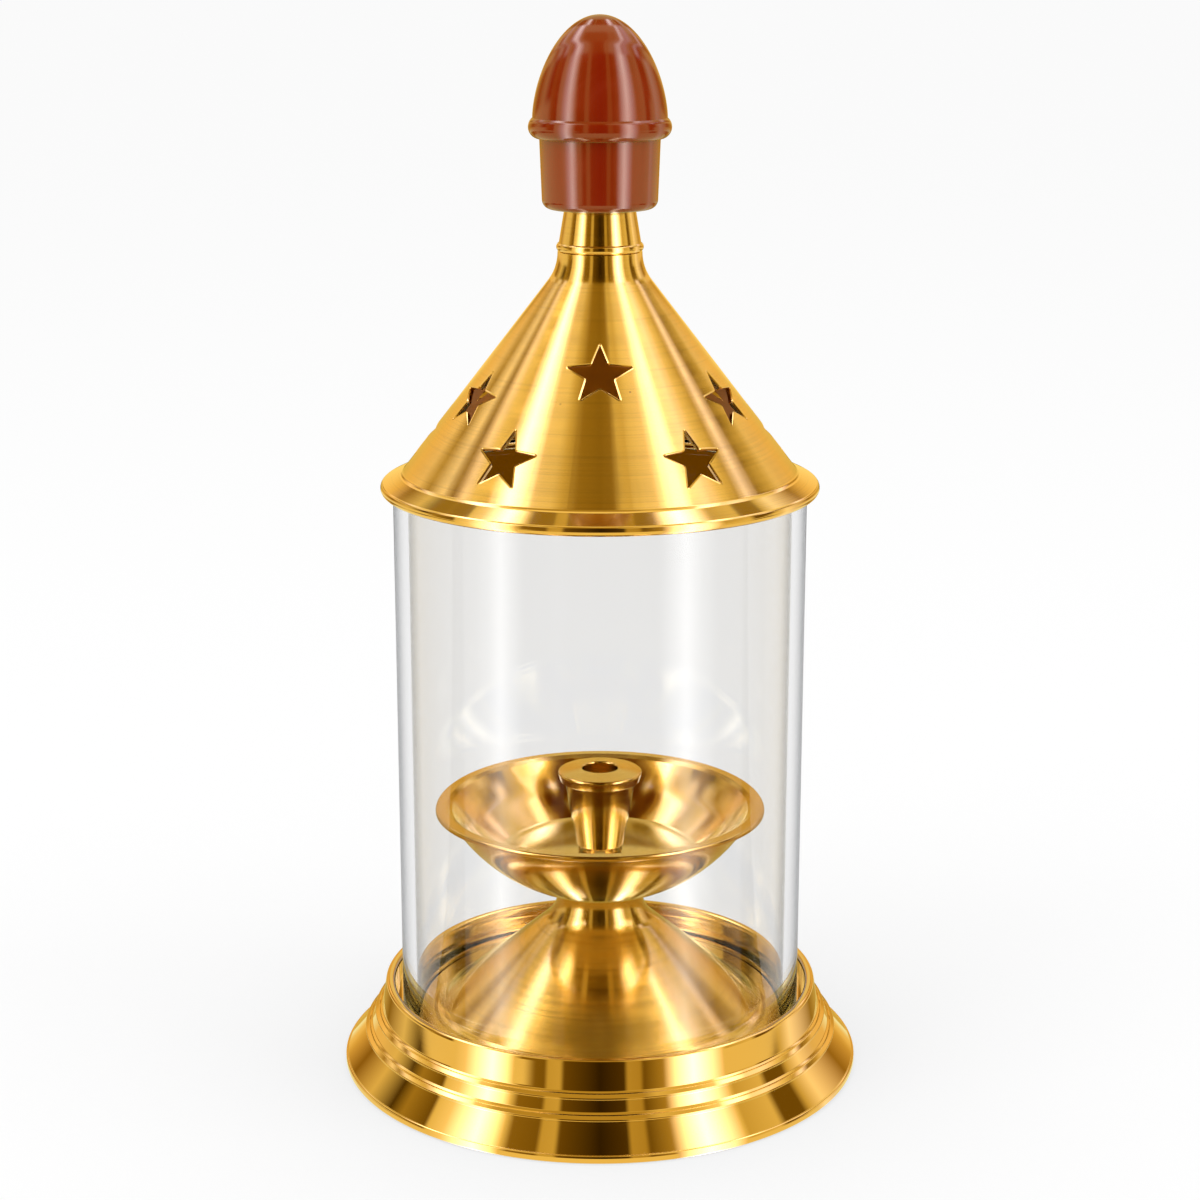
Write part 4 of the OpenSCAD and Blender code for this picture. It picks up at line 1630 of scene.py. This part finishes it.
    def ferrule_outline(self) -> list[Point]:
        """Draw the ferrule between the lid and the knob.

        Returns:
            Points of the outline.
        """
        low, top = self.lid_top_z, self.lid_top_z + self.ferrule_h
        radius = self.ferrule_bead_h / 2
        middle = (self.ferrule_bead_r - radius, low + radius)
        end = math.acos((self.ferrule_r - middle[0]) / radius)
        side = [
            (self.ferrule_r, middle[1] + radius * math.sin(end), 0.0),
            (self.ferrule_top_r, top, self.ferrule_edge_r),
            (self.screw_hole_r, top, 0.0),
            (self.screw_hole_r, low, 0.0),
        ]
        bead = Outline.arc(middle, radius, -90, math.degrees(end))
        return [*bead[:-1], *Outline.rounded(side)]

    def knob_outline(self) -> list[Point]:
        """Draw the knob: cup, bead and acorn dome.

        Returns:
            Points of the outline.
        """
        foot = self.lid_top_z + self.ferrule_h
        middle_r = self.knob_bead_reach - self.knob_bead_r
        low = -math.degrees(math.acos((self.cup_top_r - middle_r) / self.knob_bead_r))
        high = math.degrees(math.acos((self.dome_r - middle_r) / self.knob_bead_r))
        bead_z = foot + self.knob_bead_z
        dome_z = bead_z + self.knob_bead_r * math.sin(math.radians(high))
        turns = [math.pi / 2 * i / self.dome_steps for i in range(1, self.dome_steps)]
        dome = [(self.dome_r * math.cos(turn),
                 dome_z + self.dome_h * math.sin(turn) ** (2 / self.dome_power)) for turn in turns]
        cup = [
            (self.insert_hole_r, foot, 0.0),
            (self.cup_foot_r, foot, self.cup_corner_r),
            (self.cup_top_r, bead_z + self.knob_bead_r * math.sin(math.radians(low)), 0.0),
        ]
        return [
            (0.0, foot + self.insert_hole_h),
            (self.insert_hole_r, foot + self.insert_hole_h),
            *Outline.rounded(cup),
            *Outline.arc((middle_r, bead_z), self.knob_bead_r, low, high)[1:],
            *dome,
            (0.0, dome_z + self.dome_h),
        ]

    def build(self) -> None:
        """Build and dress the lid's pieces."""
        shop = self.workshop
        self.build_cone()
        for name, outline, finish, slot, node in (
            ("ferrule_turned", self.ferrule_outline(), shop.satin, Slot.POLISHED, "lid_ferrule"),
            ("knob_moulded", self.knob_outline(), shop.moulded, Slot.KNOB, "knob"),
        ):
            piece = shop.turning.turn(name, outline, finish, self.segments)
            shop.hand_over(piece, Body.LID, slot, node)
        for node in ("knob_screw", "knob_washer"):
            shop.fastener(node, Body.LID)
        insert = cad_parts["knob_insert"]
        insert.data.materials.clear()
        insert.data.materials.append(shop.polished)


class Surroundings(Tree):
    """Tree of the surroundings, which tells a ray by the face of the lamp that mirrors it.

    Such a face throws the camera's look along the ray. The turn is its azimuth and the side the
    turn without its sign, as shares of a quarter turn. The lean is how far the face looks up, and
    the rise is the upward part of the ray itself.
    """

    def __init__(self, world: bpy.types.World, pitch: float) -> None:
        """Find the way of a ray.

        Args:
            world: The surroundings.
            pitch: How far the camera looks down, in radians.
        """
        super().__init__(world.node_tree)
        part = self.split(self.add("ShaderNodeTexCoord").outputs["Generated"])
        reach = self.math("SUBTRACT", math.cos(pitch), part["Y"])
        self.turn = self.math("DIVIDE", self.math("ARCTAN2", part["X"], reach), math.pi / 2)
        self.side = self.math("ABSOLUTE", self.turn)
        up = self.math("ADD", part["Z"], math.sin(pitch))
        self.lean = self.math("DIVIDE", up, self.length(part["X"], reach))
        self.rise = part["Z"]

    def aside(self, sides: Step) -> Socket:
        """Find rays past a step of sides in degrees."""
        return self.between(self.side, sides[0] / QUARTER, sides[1] / QUARTER)

    def leaning(self, leans: Step) -> Socket:
        """Find rays past a step of leans."""
        return self.between(self.lean, *leans)

    def rising(self, rises: Step) -> Socket:
        """Find rays past a step of rises."""
        return self.between(self.rise, *rises)

    def sky(self, colour: object, strength: object) -> Socket:
        """Make a background of a colour and a strength."""
        return self.add("ShaderNodeBackground", {"Color": colour, "Strength": strength}).outputs[0]


@dataclass
class Studio:
    """Camera, white floor and the soft panels round the lamp.

    Stops of the panels are an azimuth in degrees and a level, where 1 is white. Sides are in
    degrees, leans and rises are bare numbers, and a step runs from where it is 0 to where it is 1.
    """

    camera_back: float = 478.9
    camera_height: float = 217.52
    camera_pitch: float = 14.37
    lens: float = 75.67
    sensor: float = 36.0
    panel_peak: float = 5.0
    dark_warmth: float = 0.75
    warmth_fade: float = 2.4
    blue_share: float = 0.5
    blue_rise: float = 1.9
    blue_most: float = 1.1
    soft_level: float = 0.95
    floor_size: float = 40.0
    floor_tone: Colour = (0.94, 0.94, 0.94, 1.0)
    floor_glow: float = 0.6
    floor_painted_reflection: Colour = (0.55, 0.38, 0.07, 1.0)
    low_left: tuple[Stop, ...] = (
        (0, 0.02), (9, 0.1), (10, 0.6), (13, 0.55), (14, 0.15), (20, 0.2), (22, 0.9), (28, 4.5),
        (32, 2.2), (36, 1.1), (40, 0.85), (41, 0.12), (48, 0.3), (52, 0.05), (60, 0.75), (70, 0.2),
        (78, 0.65), (90, 0.5),
    )
    low_right: tuple[Stop, ...] = (
        (0, 0.02), (6, 0.05), (7, 0.45), (10, 0.4), (11, 0.12), (16, 0.35), (18, 1.4), (24, 5),
        (29, 2.2), (33, 0.85), (34, 0.6), (42, 0.8), (44, 0.12), (50, 0.12), (52, 0.6), (57, 1.2),
        (70, 0.25), (78, 0.6), (90, 0.5),
    )
    high_left: tuple[Stop, ...] = (
        (0, 0.2), (7, 0.25), (12, 0.65), (15, 1), (20, 1.1), (24, 3), (28, 5), (32, 1.6),
        (35, 0.65), (40, 0.95), (44, 1.4), (48, 0.2), (53, 1.2), (60, 0.3), (67, 1), (76, 0.9),
        (90, 0.7),
    )
    high_right: tuple[Stop, ...] = (
        (0, 0.2), (4, 0.25), (6, 0.75), (9, 0.7), (12, 1), (17, 1.15), (22, 3.2), (25, 3.4),
        (28, 1.4), (32, 1.5), (38, 0.95), (44, 0.5), (48, 1.6), (53, 0.16), (60, 0.5), (64, 0.9),
        (72, 0.95), (90, 0.7),
    )
    high_leans: Step = (0.7, 0.77)
    pull_leans: Step = (0.86, 1.03)
    pull_sides: Step = (24, 33)
    pull: float = 0.57
    pull_less: float = 0.3
    collar_leans: tuple[Step, Step] = ((0.08, 0.13), (0.4, 0.3))
    collar_sides: Step = (46, 52)
    collar_level: float = 0.85
    lighter_leans: tuple[tuple[Step, float], ...] = (((0.9, 1.0), 0.42), ((1.2, 1.3), 1.0))
    flat_leans: Step = (1.6, 1.8)
    flat_level: float = 0.25
    top_leans: Step = (2.5, 2.9)
    top_level: float = 0.8
    warm_sides: Step = (55, 80)
    warm_tone: Colour = (1.0, 0.72, 0.35, 1.0)
    ground_rises: tuple[Step, Step] = ((-0.09, -0.12), (-0.235, -0.215))
    ground_leans: Step = (0.3, 0.12)
    ground_sides: Step = (16, 20)
    ground_near: Step = (-0.36, -0.4)
    ground_level: float = 0.9
    back_rises: tuple[Step, Step] = ((-0.1, -0.18), (-0.38, -0.35))
    back_sides: Step = (84, 88)
    back_level: float = 0.05
    glass_floor: float = 0.4
    glass_gain: float = 1.8
    glass_edge: float = 0.5
    glass_edge_sides: Step = (45, 65)
    glass_depth: int = 3

    def camera(self) -> None:
        """Set the camera where the photograph was taken from."""
        data = bpy.data.cameras.new("camera")
        data.sensor_width, data.lens = self.sensor, self.lens
        camera = bpy.data.objects.new("camera", data)
        camera.location = (0.0, -self.camera_back * MM, self.camera_height * MM)
        camera.rotation_euler = (math.radians(90 - self.camera_pitch), 0.0, 0.0)
        bpy.context.scene.collection.objects.link(camera)
        bpy.context.scene.camera = camera

    @staticmethod
    def seen_white(t: Tree) -> Socket:
        """Find what the camera sees, straight on or through glass.

        Args:
            t: Tree that asks.

        Returns:
            Socket that is 1 for such rays.
        """
        path = t.add("ShaderNodeLightPath").outputs
        unmirrored = t.math("LESS_THAN", path["Glossy Depth"], 0.5)
        clear = t.product(path["Is Transmission Ray"], unmirrored)
        return t.math("MAXIMUM", path["Is Camera Ray"], clear)

    def tint(self, level: float) -> Colour:
        """Colour a panel as a share of the peak: warm where it is dark, white where it is bright.

        Args:
            level: Level of the panel, where 1 is white.

        Returns:
            Colour of the panel.
        """
        red = level * (1 + self.dark_warmth * math.exp(-self.warmth_fade * level))
        rise = 1.0 if level < 1 else self.blue_rise
        blue = level * min(self.blue_most, self.blue_share * level ** rise)
        return red / self.panel_peak, level / self.panel_peak, blue / self.panel_peak, 1.0

    def ring(self, t: Surroundings, turn: Socket, left: tuple[Stop, ...],
             right: tuple[Stop, ...]) -> Socket:
        """Stand panels and dark gaps in a ring round the lamp.

        Args:
            t: Tree of the surroundings.
            turn: Azimuth of the ring, as a share of a quarter turn.
            left: Azimuth and level of the panels on the left.
            right: Azimuth and level of the panels on the right.

        Returns:
            Socket of the ring's colour.
        """
        sides = []
        for sign, stops in ((-1.0, left), (1.0, right)):
            colours = [(azimuth / QUARTER, self.tint(level)) for azimuth, level in stops]
            sides.append(t.ramp(t.product(turn, sign), colours))
        return t.mix(t.math("GREATER_THAN", turn, 0.0), *sides)

    def panels(self, t: Surroundings) -> Socket:
        """Stand the low and the high ring of panels and lay plain bands over them.

        Args:
            t: Tree of the surroundings.

        Returns:
            Socket of the panels' colour.
        """
        less = t.product(t.aside(self.pull_sides), self.pull_less)
        pull = t.math("SUBTRACT", self.pull, less)
        pulled = t.math("SUBTRACT", 1.0, t.product(t.leaning(self.pull_leans), pull))
        low = self.ring(t, t.turn, self.low_left, self.low_right)
        high = self.ring(t, t.product(t.turn, pulled), self.high_left, self.high_right)
        panels = t.mix(t.leaning(self.high_leans), low, high)
        collar = t.product(*map(t.leaning, self.collar_leans), t.aside(self.collar_sides))
        panels = t.mix(collar, panels, self.tint(self.collar_level), "LIGHTEN")
        for leans, level in self.lighter_leans:
            panels = t.mix(t.leaning(leans), panels, self.tint(level), "LIGHTEN")
        flat = t.mix(1.0, low, self.tint(self.flat_level), "LIGHTEN")
        panels = t.mix(t.leaning(self.flat_leans), panels, flat)
        panels = t.mix(t.leaning(self.top_leans), panels, self.tint(self.top_level))
        warm = t.mix(1.0, panels, self.warm_tone, "MULTIPLY")
        return t.mix(t.aside(self.warm_sides), panels, warm)

    def grounded(self, t: Surroundings, panels: Socket) -> Socket:
        """Lighten the panels where the floor would show.

        Args:
            t: Tree of the surroundings.
            panels: Colour of the panels.

        Returns:
            Socket of the lightened colour.
        """
        far = t.product(*map(t.rising, self.ground_rises), t.leaning(self.ground_leans),
                        t.aside(self.ground_sides))
        ground = t.math("MAXIMUM", far, t.rising(self.ground_near))
        return t.mix(ground, panels, self.tint(self.ground_level), "LIGHTEN")

    def glass_bands(self, t: Surroundings, panels: Socket) -> Socket:
        """Turn the panels into the grey bands that glass mirrors.

        Args:
            t: Tree of the surroundings.
            panels: Colour of the panels.

        Returns:
            Socket of the bands' colour.
        """
        green = t.add("ShaderNodeSeparateColor", {0: panels}).outputs["Green"]
        bright = t.math("SUBTRACT", green, self.glass_floor / self.panel_peak)
        grey = t.product(t.math("MAXIMUM", bright, 0.0), self.glass_gain)
        bands = t.add("ShaderNodeCombineColor", {0: grey, 1: grey, 2: grey}).outputs[0]
        edge = self.glass_edge / self.panel_peak
        return t.mix(t.aside(self.glass_edge_sides), bands, (edge, edge, edge, 1.0))

    def world(self) -> None:
        """Surround the lamp with white, and with soft panels for its gloss."""
        world = bpy.data.worlds.new("soft_studio")
        bpy.context.scene.world = world
        world.use_nodes = True
        t = Surroundings(world, math.radians(self.camera_pitch))
        panels = self.panels(t)
        back = t.product(*map(t.rising, self.back_rises), t.aside(self.back_sides))
        bands = t.mix(back, self.glass_bands(t, panels), BLACK)
        mirrored = t.mix(back, self.grounded(t, panels), self.tint(self.back_level))
        path = t.add("ShaderNodeLightPath").outputs
        early = t.math("LESS_THAN", path["Transmission Depth"], self.glass_depth)
        mirrored = t.mix(t.product(path["Is Singular Ray"], early), mirrored, bands)
        direct = t.math("LESS_THAN", path["Diffuse Depth"], 0.5)
        gloss = t.sky(mirrored, t.product(direct, self.panel_peak))
        met_gloss = t.math("ADD", path["Is Glossy Ray"], path["Glossy Depth"])
        shiny = t.product(t.math("GREATER_THAN", met_gloss, 0.5),
                          t.math("SUBTRACT", 1.0, path["Is Diffuse Ray"]))
        lit = t.blend(shiny, t.sky(WHITE, self.soft_level), gloss)
        seen = t.blend(self.seen_white(t), lit, t.sky(WHITE, 1.0))
        t.fill(t.tree.nodes["World Output"], {"Surface": seen})
        world.cycles.sampling_method = "NONE"

    def floor(self) -> None:
        """Lay the white floor, which keeps the lamp's soft shadow."""
        half = self.floor_size / 2
        corners = [(-half, -half, 0), (half, -half, 0), (half, half, 0), (-half, half, 0)]
        mesh = bpy.data.meshes.new("floor")
        mesh.from_pydata(corners, [], [(0, 1, 2, 3)])
        floor = new_object("floor", mesh)
        mesh.materials.append(self.floor_material())
        floor.visible_glossy = False

    def floor_material(self) -> Material:
        """Make the floor's material.

        The floor glows white for the camera and for rays that the glass bends towards its far half.
        Where brass behind the glass mirrors it, it shows a painted reflection instead: dark, and a
        warm glow for rays that passed the glass at least three times.

        Returns:
            The floor's material.
        """
        material = bpy.data.materials.new("white_floor")
        material.use_nodes = True
        t = Tree(material.node_tree)
        matt = t.tree.nodes["Principled BSDF"]
        t.fill(matt, {"Base Color": self.floor_tone, "Roughness": 0.9, "Specular IOR Level": 0.0})
        path = t.add("ShaderNodeLightPath").outputs
        place = t.split(t.add("ShaderNodeTexCoord").outputs["Object"])
        bent = t.product(path["Is Transmission Ray"], t.math("GREATER_THAN", place["Y"], 0.0),
                         t.math("LESS_THAN", path["Transmission Depth"], self.glass_depth))
        seen = t.math("MAXIMUM", self.seen_white(t), bent)
        glow = t.add("ShaderNodeEmission", {"Color": WHITE, "Strength": 1.0}).outputs[0]
        lit = t.blend(t.product(seen, self.floor_glow), matt.outputs[0], glow)
        # Painted reflection: a dark or warm glow that brass behind the glass mirrors.
        late = t.math("GREATER_THAN", path["Transmission Depth"], self.glass_depth - 0.5)
        inputs = {"Color": self.floor_painted_reflection, "Strength": late}
        warm = t.add("ShaderNodeEmission", inputs).outputs[0]
        mirrored = t.product(path["Is Transmission Ray"], t.math("SUBTRACT", 1.0, seen))
        surface = t.blend(mirrored, lit, warm)
        t.fill(t.tree.nodes["Material Output"], {"Surface": surface})
        return material

    @staticmethod
    def lamp(name: str, place: Corner, size: float, watts: float) -> None:
        """Hang one soft lamp that aims at the middle of the object.

        Args:
            name: Name of the lamp.
            place: Where it hangs, in metres.
            size: Side of its square face, in metres.
            watts: Its power.
        """
        aim = Vector((0, 0, 0.1))
        data = bpy.data.lights.new(name, "AREA")
        data.size, data.energy = size, watts
        lamp = bpy.data.objects.new(name, data)
        lamp.location = place
        lamp.rotation_euler = (aim - Vector(place)).to_track_quat("-Z", "Y").to_euler()
        lamp.visible_glossy = False
        bpy.context.scene.collection.objects.link(lamp)

    def build(self) -> None:
        """Set up the whole studio."""
        self.camera()
        self.world()
        self.floor()
        self.lamp("soft_left", (-0.7, -0.5, 0.9), 0.6, 2.0)
        self.lamp("soft_right", (0.8, -0.3, 0.8), 0.6, 1.5)
        bpy.context.scene.view_settings.view_transform = "Standard"
        bpy.context.scene.cycles.max_bounces = 16
        bpy.context.scene.cycles.glossy_bounces = 12
        LOG.info("studio: camera %.0f mm back, floor %.1f m", self.camera_back, self.floor_size)


def main() -> None:
    """Build the lamp, dress it and light it."""
    logging.basicConfig(level=logging.INFO, format="%(name)s: %(message)s")
    Studio().build()
    workshop = Workshop()
    base = LampBase(workshop)
    base.build()
    WickHolder(workshop, floor_z=base.pedestal_top_z + base.bowl_floor_h).build()
    Chimney(workshop).build()
    Lid(workshop).build()


if __name__ == "__main__":
    main()
